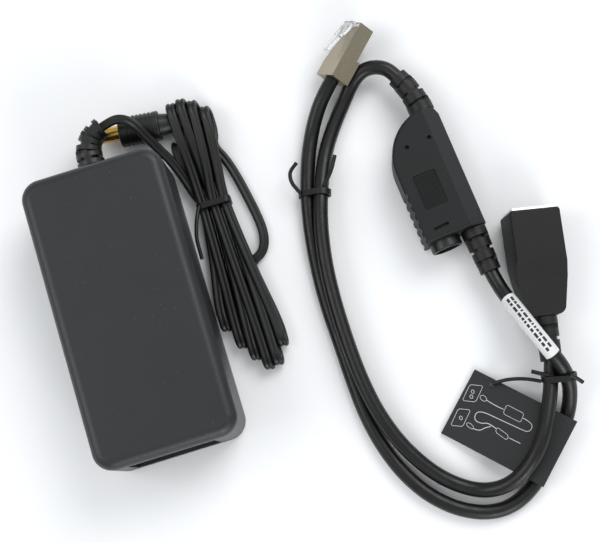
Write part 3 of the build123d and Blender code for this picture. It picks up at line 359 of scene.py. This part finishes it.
def outward(piece):
    """Turns all faces of a mesh outwards."""
    alone(piece)
    bpy.ops.object.mode_set(mode="EDIT")
    bpy.ops.mesh.select_all(action="SELECT")
    bpy.ops.mesh.normals_make_consistent(inside=False)
    bpy.ops.object.mode_set(mode="OBJECT")
    return piece


SMOOTH_ANGLE = math.radians(50)
supply_cord = outward(sweep("supply_cord", supply_line, twin_section()))
bpy.ops.object.shade_smooth_by_angle(angle=SMOOTH_ANGLE)
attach(supply_cord, "power_brick")
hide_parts("dc_cord", "dc_cord_loose_turn", "dc_cord_hank")
print("supply cord skin", len(supply_cord.data.polygons), "faces")

# %% [markdown]
# ### The tag's string
# A thin plastic string goes from the tag's hole to the lower tie. It is so short and stiff that a
# bent cylinder would do, but a route of a few points is as quick, and arches as the real one does.

# %% Tag string
STRING_D = 1.3
TAG_STRING_ROUTE = [
    (61.42, -60.44, 3.35), (64.4, -60.3, 4.6), (68.0, -60.8, 6.2),
    (72.0, -62.0, 7.8), (75.4, -63.6, 9.0), (77.4, -64.8, 9.6),
]
tag_cord = route("tag_cord", TAG_STRING_ROUTE)
tag_line = line_of(tag_cord)
rounded(tag_cord, STRING_D)
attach(tag_cord, "injector_lead")
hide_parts("tag_string")
print("tag string", round(length_of(tag_line), 4), "m")

# %% [markdown]
# ### The cords' lengths
# The tag's string is too short to count as a cord.


def declare(piece, line):
    """Prints a cord's name and the length of its line, in metres."""
    print(piece.name, "declared at", round(length_of(line), 3), "m")


declare(plug_side_cable, plug_side_line)
declare(socket_side_cable, socket_side_line)
declare(supply_cord, supply_line)

# %% [markdown]
# ## Floor and light
# The set lies on white seamless paper in a light tent: an even white surround, with three soft
# boxes to the right, to the left and towards the brick's inlet. Black plastic has little colour of
# its own, so most of what shows its form is what it mirrors. One strong lamp would give hard
# shadows, and soft boxes overhead would be mirrored by every flat top, so they stand well aside.

# %% Floor and light
def hex_colour(text):
    """Turns an sRGB colour such as 8a8f93 into the linear one that a shader takes."""
    channels = []
    for k in (0, 2, 4):
        value = int(text[k:k + 2], 16) / 255
        channels.append(value / 12.92 if value <= 0.04045 else ((value + 0.055) / 1.055) ** 2.4)
    return (*channels, 1)


def add_node(tree, kind, inputs=None, **settings):
    """Adds one shader node, with its settings, and inputs that map a socket to a value or link."""
    made = tree.nodes.new(kind)
    for name, value in settings.items():
        setattr(made, name, value)
    for socket, value in (inputs or {}).items():
        if isinstance(value, bpy.types.NodeSocket):
            tree.links.new(value, made.inputs[socket])
        else:
            made.inputs[socket].default_value = value
    return made


def soft_box(name, place, aim, size, power):
    """A square area light at place that faces aim."""
    lamp = bpy.data.lights.new(name, "AREA")
    lamp.shape = "SQUARE"
    lamp.size = size
    lamp.energy = power
    lit = bpy.data.objects.new(name, lamp)
    lit.location = place
    lit.rotation_euler = (Vector(aim) - Vector(place)).to_track_quat("-Z", "Y").to_euler()
    bpy.context.scene.collection.objects.link(lit)
    return lit


FLOOR_SIDE = 6.0
SKY_COLOUR = "f4f7fa"
SKY_STRENGTH = 0.6
bpy.ops.object.select_all(action="DESELECT")
bpy.ops.mesh.primitive_plane_add(size=FLOOR_SIDE, location=(0, 0, 0))
floor = bpy.context.active_object
floor.name = "paper_floor"
soft_box("soft_box_right", (0.75, 0.65, 1.1), (0, 0, 0), 0.9, 10)
soft_box("soft_box_left", (-0.95, 0.2, 1.0), (0, 0, 0), 0.8, 5)
soft_box("soft_box_front", (0.1, -1.0, 0.5), (-0.05, 0, 0), 0.6, 5)
world = bpy.data.worlds.new("studio")
bpy.context.scene.world = world
world.use_nodes = True
sky = world.node_tree.nodes["Background"]
sky.inputs["Color"].default_value = hex_colour(SKY_COLOUR)
sky.inputs["Strength"].default_value = SKY_STRENGTH
bpy.context.scene.view_settings.view_transform = "Standard"
print("floor and three soft boxes")

# %% [markdown]
# ## Finishes
# Nearly every surface here is a moulded or extruded polymer: black, but each with its own gloss
# and grain. Each could have its own tree of nodes, but one function makes them all from two close
# colours, a roughness and the size and depth of the grain in millimetres, because that is how a
# mould's surface is specified.

# %% A grained material
def new_material(name):
    """A material with an empty principled shader and object coordinates, ready for nodes."""
    material = bpy.data.materials.new(name)
    material.use_nodes = True
    tree = material.node_tree
    shader = tree.nodes["Principled BSDF"]
    places = add_node(tree, "ShaderNodeTexCoord").outputs["Object"]
    return material, tree, shader, places


def grained(name, dark, light, roughness, grain_mm, depth_mm, blotch_mm=9.0, **shader_values):
    """A surface whose colour drifts between dark and light, under an even grain."""
    material, tree, shader, places = new_material(name)
    blotch = add_node(tree, "ShaderNodeTexNoise", {
        "Vector": places, "Scale": 1 / (blotch_mm * MM), "Detail": 4.0, "Roughness": 0.6})
    colours = add_node(tree, "ShaderNodeMix", {
        0: blotch.outputs["Fac"], 6: hex_colour(dark), 7: hex_colour(light)}, data_type="RGBA")
    grain = add_node(tree, "ShaderNodeTexNoise", {
        "Vector": places, "Scale": 1 / (grain_mm * MM), "Detail": 3.0, "Roughness": 0.55})
    gloss = add_node(tree, "ShaderNodeMapRange", {
        "Value": grain.outputs["Fac"], "From Min": 0.3, "From Max": 0.7,
        "To Min": max(0.0, roughness - 0.06), "To Max": min(1.0, roughness + 0.06)})
    relief = add_node(tree, "ShaderNodeBump", {
        "Height": grain.outputs["Fac"], "Distance": depth_mm * MM, "Strength": 1.0})
    tree.links.new(colours.outputs[2], shader.inputs["Base Color"])
    tree.links.new(gloss.outputs["Result"], shader.inputs["Roughness"])
    tree.links.new(relief.outputs["Normal"], shader.inputs["Normal"])
    for socket, value in shader_values.items():
        shader.inputs[socket.replace("_", " ")].default_value = value
    return material


def finish_with(material, *names):
    """Gives a material to CAD nodes or pieces, as their only one."""
    for name in names:
        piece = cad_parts.get(name) or bpy.data.objects[name]
        piece.data.materials.clear()
        piece.data.materials.append(material)
    print(material.name, "->", ", ".join(names))

# %% [markdown]
# ### The brick's case
# Black ABS, injection moulded in a spark-eroded tool. That leaves a fine leather-like grain which
# breaks a highlight into a soft sheen, and a desk supply always carries a little pale dust in it.
# The dust could be scattered as tiny pieces. Specks in the colour, at the places of a Voronoi
# pattern, show the same and cost nothing. Both are drawn a little coarse, so that they show.

# %% Brick ABS
DUST_PATCH = 14.0    # the dust lies thicker in patches of this size


def with_dust(material, speck_mm, spacing_mm, colour, share):
    """Adds small pale specks of dust over a grained material."""
    tree = material.node_tree
    shader = tree.nodes["Principled BSDF"]
    places = next(n for n in tree.nodes if n.bl_idname == "ShaderNodeTexCoord").outputs["Object"]
    cells = add_node(tree, "ShaderNodeTexVoronoi", {
        "Vector": places, "Scale": 1 / (spacing_mm * MM), "Randomness": 1.0})
    reach = 0.5 * speck_mm / spacing_mm
    speck = add_node(tree, "ShaderNodeMapRange", {
        "Value": cells.outputs["Distance"], "From Min": reach * 0.6, "From Max": reach,
        "To Min": share, "To Max": 0.0})
    patch = add_node(tree, "ShaderNodeTexNoise", {
        "Vector": places, "Scale": 1 / (DUST_PATCH * MM), "Detail": 2.0})
    amount = add_node(tree, "ShaderNodeMath", {
        0: speck.outputs["Result"], 1: patch.outputs["Fac"]}, operation="MULTIPLY")
    under = shader.inputs["Base Color"].links[0].from_socket
    mixed = add_node(tree, "ShaderNodeMix", {
        0: amount.outputs["Value"], 6: under, 7: hex_colour(colour)}, data_type="RGBA")
    tree.links.new(mixed.outputs[2], shader.inputs["Base Color"])
    return material


brick_abs = with_dust(
    grained("black_abs_leather_grain", "15181a", "1f2325", 0.44, 0.55, 0.035, 16.0, IOR=1.53),
    0.28, 2.6, "aeb4b6", 0.5)
finish_with(brick_abs, "brick_top_case", "brick_bottom_case")

# %% [markdown]
# ### The injector module and the data socket
# The module's shells are a charcoal ABS with a finer, duller grain, and the socket's block is a
# soft PVC moulded over its works, which spreads a highlight wider still. The strain reliefs are a
# flexible PVC, and the jack and the inlet a moulded nylon, whose skin is the glossiest here. One
# black for all would be simpler, but then only their edges would tell them apart.

# %% Module and socket polymers
module_abs = grained("charcoal_abs_fine_grain", "0f1011", "161718", 0.55, 0.35, 0.02, 8.0,
                     IOR=1.53, Specular_IOR_Level=0.3)
jack_nylon = grained("black_moulded_nylon", "0a0b0b", "101112", 0.38, 0.5, 0.012, 6.0, IOR=1.53)
socket_pvc = grained("black_overmoulded_pvc", "0e0e0e", "151514", 0.55, 0.45, 0.02, 10.0,
                     IOR=1.52, Specular_IOR_Level=0.3)
relief_pvc = grained("black_flexible_pvc", "0a0a0a", "121212", 0.5, 0.6, 0.015, 5.0,
                     IOR=1.52, Specular_IOR_Level=0.4)
boot_pvc = grained("black_boot_pvc", "0b0b0b", "131313", 0.42, 0.5, 0.015, 5.0, IOR=1.52)
finish_with(module_abs, "module_top_shell", "module_bottom_shell")
finish_with(jack_nylon, "ac_inlet_body", "dc_jack_body", "socket_insert", "dc_plug_insulator")
finish_with(socket_pvc, "socket_housing")
finish_with(relief_pvc, "upper_strain_relief", "lower_strain_relief", "socket_strain_relief")
finish_with(boot_pvc, "brick_strain_relief", "dc_plug_body")

# %% [markdown]
# ### Cable jackets
# Jacket PVC is extruded, so its skin is smoother than a moulding's and has a satin gloss, with a
# slow waviness where the twisted cores inside press through. The wave could be in the mesh, but
# it is far thinner than a hair, so a bump from coarse noise gives the eye the same broken gleam.

# %% Cable PVC
cable_pvc = grained("black_cable_pvc", "070707", "0e0e0e", 0.38, 3.2, 0.09, 12.0, IOR=1.52,
                    Specular_IOR_Level=0.4)
cord_pvc = grained("black_cord_pvc", "090909", "111111", 0.38, 2.4, 0.04, 9.0, IOR=1.52,
                   Specular_IOR_Level=0.4)
tie_pvc = grained("black_tie_pvc", "070707", "0e0e0e", 0.42, 1.0, 0.02, 4.0, IOR=1.52,
                  Specular_IOR_Level=0.4)
finish_with(cable_pvc, "plug_side_cable", "socket_side_cable")
finish_with(cord_pvc, "supply_cord")
finish_with(tie_pvc, "tag_cord", "hank_tie", "cable_tie_upper", "cable_tie_lower")

# %% [markdown]
# ### Metals
# The plug's and the socket's shields are thin sheet with bright nickel on it, warm in colour, and
# rolled, so fine lines run one way. Contacts, pin and barrel have thin gold or nickel, and
# the heatsinks are mill-finish aluminium. A brushed look could come from an anisotropic shader, but
# noise stretched along the rolling direction also breaks up the colour, as on real sheet. Its lines
# are drawn coarser than they are, so that they show.

# %% Metals
def rolled(name, dark, light, roughness, line_mm, turn_deg, depth_mm=0.004):
    """Sheet metal with fine parallel rolling lines, turned about Z."""
    material, tree, shader, places = new_material(name)
    turned = add_node(tree, "ShaderNodeMapping", {
        "Vector": places, "Rotation": (0, 0, math.radians(turn_deg)), "Scale": (0.06, 1, 1)})
    lines = add_node(tree, "ShaderNodeTexNoise", {
        "Vector": turned.outputs["Vector"], "Scale": 1 / (line_mm * MM), "Detail": 4.0})
    colours = add_node(tree, "ShaderNodeMix", {
        0: lines.outputs["Fac"], 6: hex_colour(dark), 7: hex_colour(light)}, data_type="RGBA")
    gloss = add_node(tree, "ShaderNodeMapRange", {
        "Value": lines.outputs["Fac"], "To Min": roughness - 0.05, "To Max": roughness + 0.08})
    relief = add_node(tree, "ShaderNodeBump", {
        "Height": lines.outputs["Fac"], "Distance": depth_mm * MM, "Strength": 1.0})
    tree.links.new(colours.outputs[2], shader.inputs["Base Color"])
    tree.links.new(gloss.outputs["Result"], shader.inputs["Roughness"])
    tree.links.new(relief.outputs["Normal"], shader.inputs["Normal"])
    shader.inputs["Metallic"].default_value = 1.0
    return material


PLUG_HEADING = 44.6
nickel_plate = rolled("bright_nickel_sheet", "8f8672", "b5ab97", 0.3, 0.35, PLUG_HEADING)
bright_tin = rolled("bright_tinned_sheet", "c9c9c4", "eceae4", 0.25, 0.35, 0)
gold_plate = rolled("thin_gold_plate", "c79a45", "e2bd6a", 0.24, 0.3, 0)
nickel_brass = rolled("nickelled_brass", "b9b4a6", "d4cfc2", 0.28, 0.3, 0)
aluminium = rolled("mill_aluminium", "a7abae", "c4c7c9", 0.38, 0.5, 0)
copper = rolled("bare_copper", "9a5430", "c9774a", 0.34, 0.25, 90)
finish_with(nickel_plate, "plug_shield")
finish_with(bright_tin, "socket_shield")
finish_with(gold_plate, "plug_contacts", "socket_contacts", "dc_plug_barrel")
finish_with(nickel_brass, "inlet_blades", "dc_jack_pin", "dc_jack_spring")
finish_with(aluminium, "primary_heatsink", "output_heatsink", "output_capacitors", "bulk_capacitor")
finish_with(copper, "inlet_leads", "transformer_winding")

# %% [markdown]
# ### The clear nose of the data plug
# Clear polycarbonate: the eight coloured wires and the gold contacts show through it, and its edges
# catch the light. An alpha of a half would show the wires too, but wouldn't bend the light at the
# edges, so it gets full transmission and the polymer's own IOR.

# %% Clear polycarbonate
def clear_polymer(name, tint, flow_mm):
    """A clear moulding with faint flow marks."""
    material, tree, shader, places = new_material(name)
    flow = add_node(tree, "ShaderNodeTexNoise", {
        "Vector": places, "Scale": 1 / (flow_mm * MM), "Detail": 2.0})
    gloss = add_node(tree, "ShaderNodeMapRange", {
        "Value": flow.outputs["Fac"], "To Min": 0.03, "To Max": 0.12})
    relief = add_node(tree, "ShaderNodeBump", {
        "Height": flow.outputs["Fac"], "Distance": 0.03 * MM, "Strength": 1.0})
    tree.links.new(gloss.outputs["Result"], shader.inputs["Roughness"])
    tree.links.new(relief.outputs["Normal"], shader.inputs["Normal"])
    shader.inputs["Base Color"].default_value = hex_colour(tint)
    shader.inputs["Transmission Weight"].default_value = 1.0
    shader.inputs["IOR"].default_value = 1.585
    return material


clear_polycarbonate = clear_polymer("clear_polycarbonate", "f2f5f6", 2.5)
finish_with(clear_polycarbonate, "rj45_plug_body", "plug_latch")

# %% [markdown]
# ### The plug's wires
# Eight insulated wires lie side by side at the contact pitch, in the usual order for such a lead.
# Each could have its own material, but they are one node, so one material colours them all: it
# measures how far a place is across the plug, and a stepped ramp gives each pitch its colour.

# %% Wire colours
PLUG_ACROSS = Vector((0.412715, -0.418518, 0.809017))
PLUG_REAR = Vector((40.1, 61.6, 7.4)) * MM
WIRE_PITCH = 1.02
WIRE_COLOURS = ["e8d9c8", "d9772a", "d5e3d3", "3466b0", "d3dbe8", "3d8b4a", "e0d2c8", "7a4a2c"]


def striped_wires(name, across, origin, pitch_mm, colours):
    """Polyethylene insulation whose colour steps at each wire."""
    material, tree, shader, places = new_material(name)
    from_rear = add_node(tree, "ShaderNodeVectorMath", {
        0: places, 1: origin}, operation="SUBTRACT")
    share = add_node(tree, "ShaderNodeVectorMath", {
        0: from_rear.outputs["Vector"], 1: across}, operation="DOT_PRODUCT")
    half = pitch_mm * MM * len(colours) / 2
    position = add_node(tree, "ShaderNodeMapRange", {
        "Value": share.outputs["Value"], "From Min": -half, "From Max": half})
    ramp = add_node(tree, "ShaderNodeValToRGB", {"Fac": position.outputs["Result"]})
    stops = ramp.color_ramp
    stops.interpolation = "CONSTANT"
    stops.elements[0].color = hex_colour(colours[0])
    stops.elements[1].position = 1 / len(colours)
    stops.elements[1].color = hex_colour(colours[1])
    for k, colour in enumerate(colours[2:], start=2):
        stops.elements.new(k / len(colours)).color = hex_colour(colour)
    tree.links.new(ramp.outputs["Color"], shader.inputs["Base Color"])
    grain = add_node(tree, "ShaderNodeTexNoise", {"Vector": places, "Scale": 1 / (0.8 * MM)})
    gloss = add_node(tree, "ShaderNodeMapRange", {
        "Value": grain.outputs["Fac"], "To Min": 0.3, "To Max": 0.45})
    tree.links.new(gloss.outputs["Result"], shader.inputs["Roughness"])
    return material


wire_polyethylene = striped_wires("wire_insulation", PLUG_ACROSS, PLUG_REAR, WIRE_PITCH,
                                  WIRE_COLOURS)
finish_with(wire_polyethylene, "plug_wires")

# %% [markdown]
# ### Works inside the brick and the module
# The board, the wound parts and the sealed components are only seen when a case is taken off, and
# could be left grey. Each still gets what it is made of, since it is as quick: solder mask on glass
# epoxy, sintered ferrite, glass, epoxy dip and black moulding compound.

# %% Inner materials
board_fr4 = grained("solder_mask_on_fr4", "0c3a1c", "14522a", 0.3, 1.2, 0.02, 5.0)
ferrite = grained("sintered_ferrite", "2b2b2d", "3a3a3d", 0.6, 0.4, 0.03, 4.0)
epoxy_yellow = grained("yellow_epoxy_case", "a8842c", "bd9738", 0.4, 0.8, 0.02, 6.0, IOR=1.55)
epoxy_blue = grained("blue_epoxy_dip", "1f4c86", "2c63a3", 0.3, 0.8, 0.03, 4.0, IOR=1.55)
moulding_black = grained("black_moulding_compound", "141415", "1e1e20", 0.5, 0.3, 0.015, 4.0,
                         IOR=1.55)
fuse_glass = clear_polymer("fuse_glass", "eef3f2", 1.5)
finish_with(board_fr4, "brick_board", "module_board")
finish_with(ferrite, "transformer_core", "line_filter_choke")
finish_with(epoxy_yellow, "x_capacitor")
finish_with(epoxy_blue, "y_capacitor")
finish_with(moulding_black, "bridge_rectifier", "control_chips", "power_switch",
            "pulse_transformer", "surge_protector")
finish_with(fuse_glass, "input_fuse")

# %% [markdown]
# ### Paper and card
# The cable carries a white vinyl label, and a folded dark card hangs from its string. Both are
# printed, here with only bars and plain outlines. The print could be a pattern in the material,
# but as thin pieces of their own the bars and lines keep a clean edge from any distance.

# %% Label and card
label_vinyl = grained("white_vinyl_label", "d8d9da", "e6e7e7", 0.45, 1.5, 0.01, 7.0)
label_ink = grained("black_label_ink", "1b1b1c", "262627", 0.5, 0.8, 0.005, 3.0)
tag_card = grained("dark_coated_card", "121314", "1a1b1c", 0.55, 0.5, 0.01, 12.0)
tag_ink = grained("pale_card_ink", "c9cccd", "dcdedf", 0.55, 0.6, 0.005, 6.0)
finish_with(tag_card, "hang_tag")
paper = grained("seamless_paper", "f3f4f5", "f8f9fa", 0.8, 2.0, 0.02, 120.0)
finish_with(paper, "paper_floor")

# %% [markdown]
# ## Finer pieces
# Small surface work is made in Blender and laid on the CAD shells: the knurled pad of the module,
# the printed bars on the cable label and the outline drawing on the tag. Each is laid out flat
# in its own plane, and one matrix then puts it in place. They could be modelled where they are, but
# sizes are far easier to read square on.

# %% Planes and a rounded block
def plane_matrix(origin_mm, x_axis, y_axis):
    """A matrix that takes a flat layout to the plane with these axes."""
    x = Vector(x_axis).normalized()
    z = x.cross(Vector(y_axis)).normalized()
    y = z.cross(x)
    turned = Matrix((x, y, z)).transposed().to_4x4()
    return Matrix.Translation(Vector(origin_mm) * MM) @ turned


MODULE_TURN = math.radians(5)
MODULE_PLANE = plane_matrix((64.25, 14.0, 0), (math.cos(MODULE_TURN), math.sin(MODULE_TURN), 0),
                            (-math.sin(MODULE_TURN), math.cos(MODULE_TURN), 0))
TAG_PLANE = plane_matrix((57.6, -53.7, 0.3), (0.6892, -0.7013, 0.1822), (0.7133, 0.7009, 0))


def block(name, size_mm, place_mm, bevel_mm):
    """A cuboid with rounded edges, at its place in a flat layout."""
    bpy.ops.object.select_all(action="DESELECT")
    bpy.ops.mesh.primitive_cube_add(size=1)
    piece = bpy.context.active_object
    piece.name = name
    bpy.ops.object.mode_set(mode="EDIT")
    bpy.ops.mesh.select_all(action="SELECT")
    bpy.ops.transform.resize(value=[s * MM for s in size_mm])
    bpy.ops.transform.translate(value=[p * MM for p in place_mm])
    bpy.ops.mesh.bevel(offset=bevel_mm * MM, segments=2, affect="EDGES")
    bpy.ops.object.mode_set(mode="OBJECT")
    return piece


def joined(name, parts):
    """Joins pieces into one that keeps the first one's place."""
    bpy.ops.object.select_all(action="DESELECT")
    for part in parts:
        part.select_set(True)
    bpy.context.view_layer.objects.active = parts[0]
    bpy.ops.object.join()
    whole = bpy.context.active_object
    whole.name = name
    return whole


def settle(piece, matrix, body, material):
    """Puts a flat layout in place in its mesh, and says what it rides on and is made of."""
    piece.data.transform(matrix)
    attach(piece, body)
    finish_with(material, piece.name)
    return piece


# %% [markdown]
# ### The knurled pad
# The module's top has a shallow panel of fine ribs that run across it. A bump map would do from
# afar, but it has no edge in a side view, so one rib is a real block with rounded edges, and the
# others are copies of it.

# %% Knurled pad
PAD_CENTRE = (-3.8, -3.35)
PAD_WIDTH = 7.9
PAD_LENGTH = 12.2
RIB_PITCH = 0.72
RIB_THICK = 0.38
PANEL_FLOOR = 16.6
RIB_HEIGHT = 0.34
RIB_SINK = 0.02      # how far a rib's foot goes into the panel
RIB_ROUND = 0.12
rib_count = int(PAD_LENGTH / RIB_PITCH) + 1
ribs = []
for k in range(rib_count):
    rib_v = PAD_CENTRE[1] + (k - (rib_count - 1) / 2) * RIB_PITCH
    if not ribs:
        first_v = rib_v
        ribs.append(block("pad_rib", (PAD_WIDTH, RIB_THICK, RIB_HEIGHT),
                          (PAD_CENTRE[0], first_v, PANEL_FLOOR + RIB_HEIGHT / 2 - RIB_SINK),
                          RIB_ROUND))
    else:
        rib = ribs[0].copy()
        rib.data = ribs[0].data.copy()
        rib.data.transform(Matrix.Translation((0, (rib_v - first_v) * MM, 0)))
        bpy.context.scene.collection.objects.link(rib)
        ribs.append(rib)
pad = joined("knurled_pad", ribs)
settle(pad, MODULE_PLANE, "injector_lead", module_abs)
print("knurled pad of", rib_count, "ribs")

# %% [markdown]
# ### The cable label
# A white vinyl label is wrapped round the cable below the module, so it bends with the cable: it
# is swept along the same line, a little thicker than the jacket. A shrinkwrapped sheet would lie
# as close, but would have to be cut to size first. Its print is replaced by plain bars in two
# rows, each a thin patch of ink swept along its own short stretch.

# %% Cable label
LABEL_START = 12.2
LABEL_LENGTH = 25.5
LABEL_THICK = 0.12


def stretch(line, start_mm, stop_mm, step_mm=0.5):
    """Evenly spaced places along a line, between two distances from its start."""
    count = max(2, round((stop_mm - start_mm) / step_mm))
    wanted = [along(start_mm, stop_mm, k / count) * MM for k in range(count + 1)]
    places = []
    run = 0.0
    for a, b in zip(line, line[1:]):
        step = (b - a).length
        while len(places) < len(wanted) and wanted[len(places)] <= run + step:
            places.append(a.lerp(b, (wanted[len(places)] - run) / step))
        run += step
    return places


def arc_band(radius_mm, thick_mm, start_deg, stop_deg, steps):
    """The outline of a band that follows a circle between two angles."""
    angles = [math.radians(along(start_deg, stop_deg, k / steps)) for k in range(steps + 1)]
    inside = radius_mm * MM
    outside = (radius_mm + thick_mm) * MM
    outer = [(outside * math.cos(a), outside * math.sin(a)) for a in angles]
    inner = [(inside * math.cos(a), inside * math.sin(a)) for a in reversed(angles)]
    return outer + inner


def ring(radius_mm, steps):
    """The outline of a circle."""
    angles = [2 * math.pi * k / steps for k in range(steps)]
    return [(radius_mm * MM * math.cos(a), radius_mm * MM * math.sin(a)) for a in angles]


label_radius = CABLE_D / 2 + LABEL_THICK
wrap = sweep("label_wrap", stretch(plug_side_line, LABEL_START, LABEL_START + LABEL_LENGTH),
             ring(label_radius, 32))
outward(wrap)
bpy.ops.object.shade_smooth_by_angle(angle=SMOOTH_ANGLE)
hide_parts("cable_label")
settle(wrap, Matrix.Identity(4), "injector_lead", label_vinyl)

# %% Bars on the label
INK_THICK = 0.03
BAR_ROWS = ((64, 84), (98, 118))    # each row's first and last angle round the cable
MARGIN_START = 1.4
MARGIN_END = 2.6
bars = []
for low, high in BAR_ROWS:
    reached = LABEL_START + MARGIN_START
    while reached < LABEL_START + LABEL_LENGTH - MARGIN_END:
        long = rng.uniform(0.7, 2.1)
        bar = sweep("bar", stretch(plug_side_line, reached, reached + long, 0.35),
                    arc_band(label_radius - 0.01, INK_THICK, low, high, 4))
        bars.append(outward(bar))
        reached += long + rng.uniform(0.35, 0.6)
label_bars = joined("label_bars", bars)
settle(label_bars, Matrix.Identity(4), "injector_lead", label_ink)
print("label with", len(bars), "bars")

# %% [markdown]
# ### The drawing on the tag
# The tag shows how the set is wired up: two wall boxes, the brick, the module and the leads, as
# thin pale outlines. They could be a Grease Pencil drawing, but that doesn't export as a mesh. Each
# outline is a curve in the tag's own plane, given a thin round section and pressed flat on the
# card. The lines are drawn a little wider than print, so that they show.

# %% Tag drawing
CARD_TOP = 1.0
CORD_INK = 0.26
BOX_INK = 0.18
PLUG_INK = 0.16
MARK_INK = 0.2
FLAT = 0.25


def ink_line(points, closed=False, order=3, width_mm=CORD_INK):
    """One inked line on the card, through or near the points, in the card's own millimetres."""
    line = bpy.data.curves.new("ink", "CURVE")
    line.dimensions = "3D"
    spline = line.splines.new("NURBS" if order > 2 else "POLY")
    spline.points.add(len(points) - 1)
    for point, (x, y) in zip(spline.points, points):
        point.co = (x * MM, y * MM, 0, 1)
    if order > 2:
        spline.order_u = order
        spline.use_endpoint_u = not closed
        spline.resolution_u = 6
    spline.use_cyclic_u = closed
    piece = bpy.data.objects.new("ink", line)
    bpy.context.scene.collection.objects.link(piece)
    line.bevel_depth = width_mm * MM / 2
    line.bevel_resolution = 1
    line.use_fill_caps = not closed
    alone(piece)
    bpy.ops.object.convert(target="MESH")
    piece.data.transform(Matrix.Scale(FLAT, 4, (0, 0, 1)))
    piece.data.transform(Matrix.Translation((0, 0, CARD_TOP * MM)))
    return piece


def box_outline(x0, y0, x1, y1, lean=0.0, corner=0.5):
    """The corners of a leaning box, two points to each corner, so that its line rounds them."""
    corners = [(x0, y0), (x1, y0 + lean), (x1 + 0.3, y1 + lean), (x0 + 0.3, y1)]
    points = []
    for k, (x, y) in enumerate(corners):
        before = Vector(corners[k - 1]) - Vector((x, y))
        after = Vector(corners[(k + 1) % 4]) - Vector((x, y))
        for side in (before, after):
            points.append(tuple(Vector((x, y)) + side.normalized() * corner))
    return points


# Two wall boxes, the brick and the module: two opposite corners, and how far the box leans.
BOXES = [
    (1.0, -5.6, 5.4, -11.9, 1.7), (1.4, -15.1, 5.4, -21.6, 1.6), (15.8, -6.0, 22.6, -9.4, 0.0),
    (16.4, -14.6, 21.3, -16.4, -0.7),
]
LEADS = [
    [(8.6, -7.8), (11.5, -8.2), (15.6, -8.0)],
    [(23.0, -7.6), (25.4, -7.6), (27.4, -8.6), (27.0, -11.2), (24.0, -11.4), (16.0, -11.8),
     (9.6, -12.0), (7.4, -13.4), (8.2, -16.2), (11.2, -16.0), (13.0, -14.6), (16.4, -15.2)],
    [(21.8, -16.0), (24.0, -16.0), (26.2, -15.9)],
    [(9.3, -18.9), (11.6, -18.8), (12.8, -16.6), (14.4, -15.4)],
]
PLUGS = [
    [(6.4, -18.0), (7.6, -17.7), (9.3, -18.4), (9.2, -19.3), (7.6, -19.2), (6.5, -18.9)],
    [(6.2, -7.2), (7.4, -6.7), (8.8, -7.4), (8.7, -8.5), (7.4, -8.7), (6.3, -8.2)],
]
SOCKET_MARKS = [(3.0, -7.4), (3.4, -9.2), (3.6, -17.6)]
lines = [ink_line(box_outline(*row), closed=True, order=2, width_mm=BOX_INK) for row in BOXES]
lines += [ink_line(points) for points in LEADS]
lines += [ink_line(points, closed=True, width_mm=PLUG_INK) for points in PLUGS]
for x, y in SOCKET_MARKS:
    mark = box_outline(x - 0.6, y + 0.55, x + 0.5, y - 0.55, corner=0.3)
    lines.append(ink_line(mark, closed=True, order=2, width_mm=MARK_INK))
drawing = joined("tag_drawing", lines)
settle(drawing, TAG_PLANE, "injector_lead", tag_ink)
print("tag drawing of", len(lines), "lines")

# %% [markdown]
# ## Close

# %% Close
print("all pieces made")
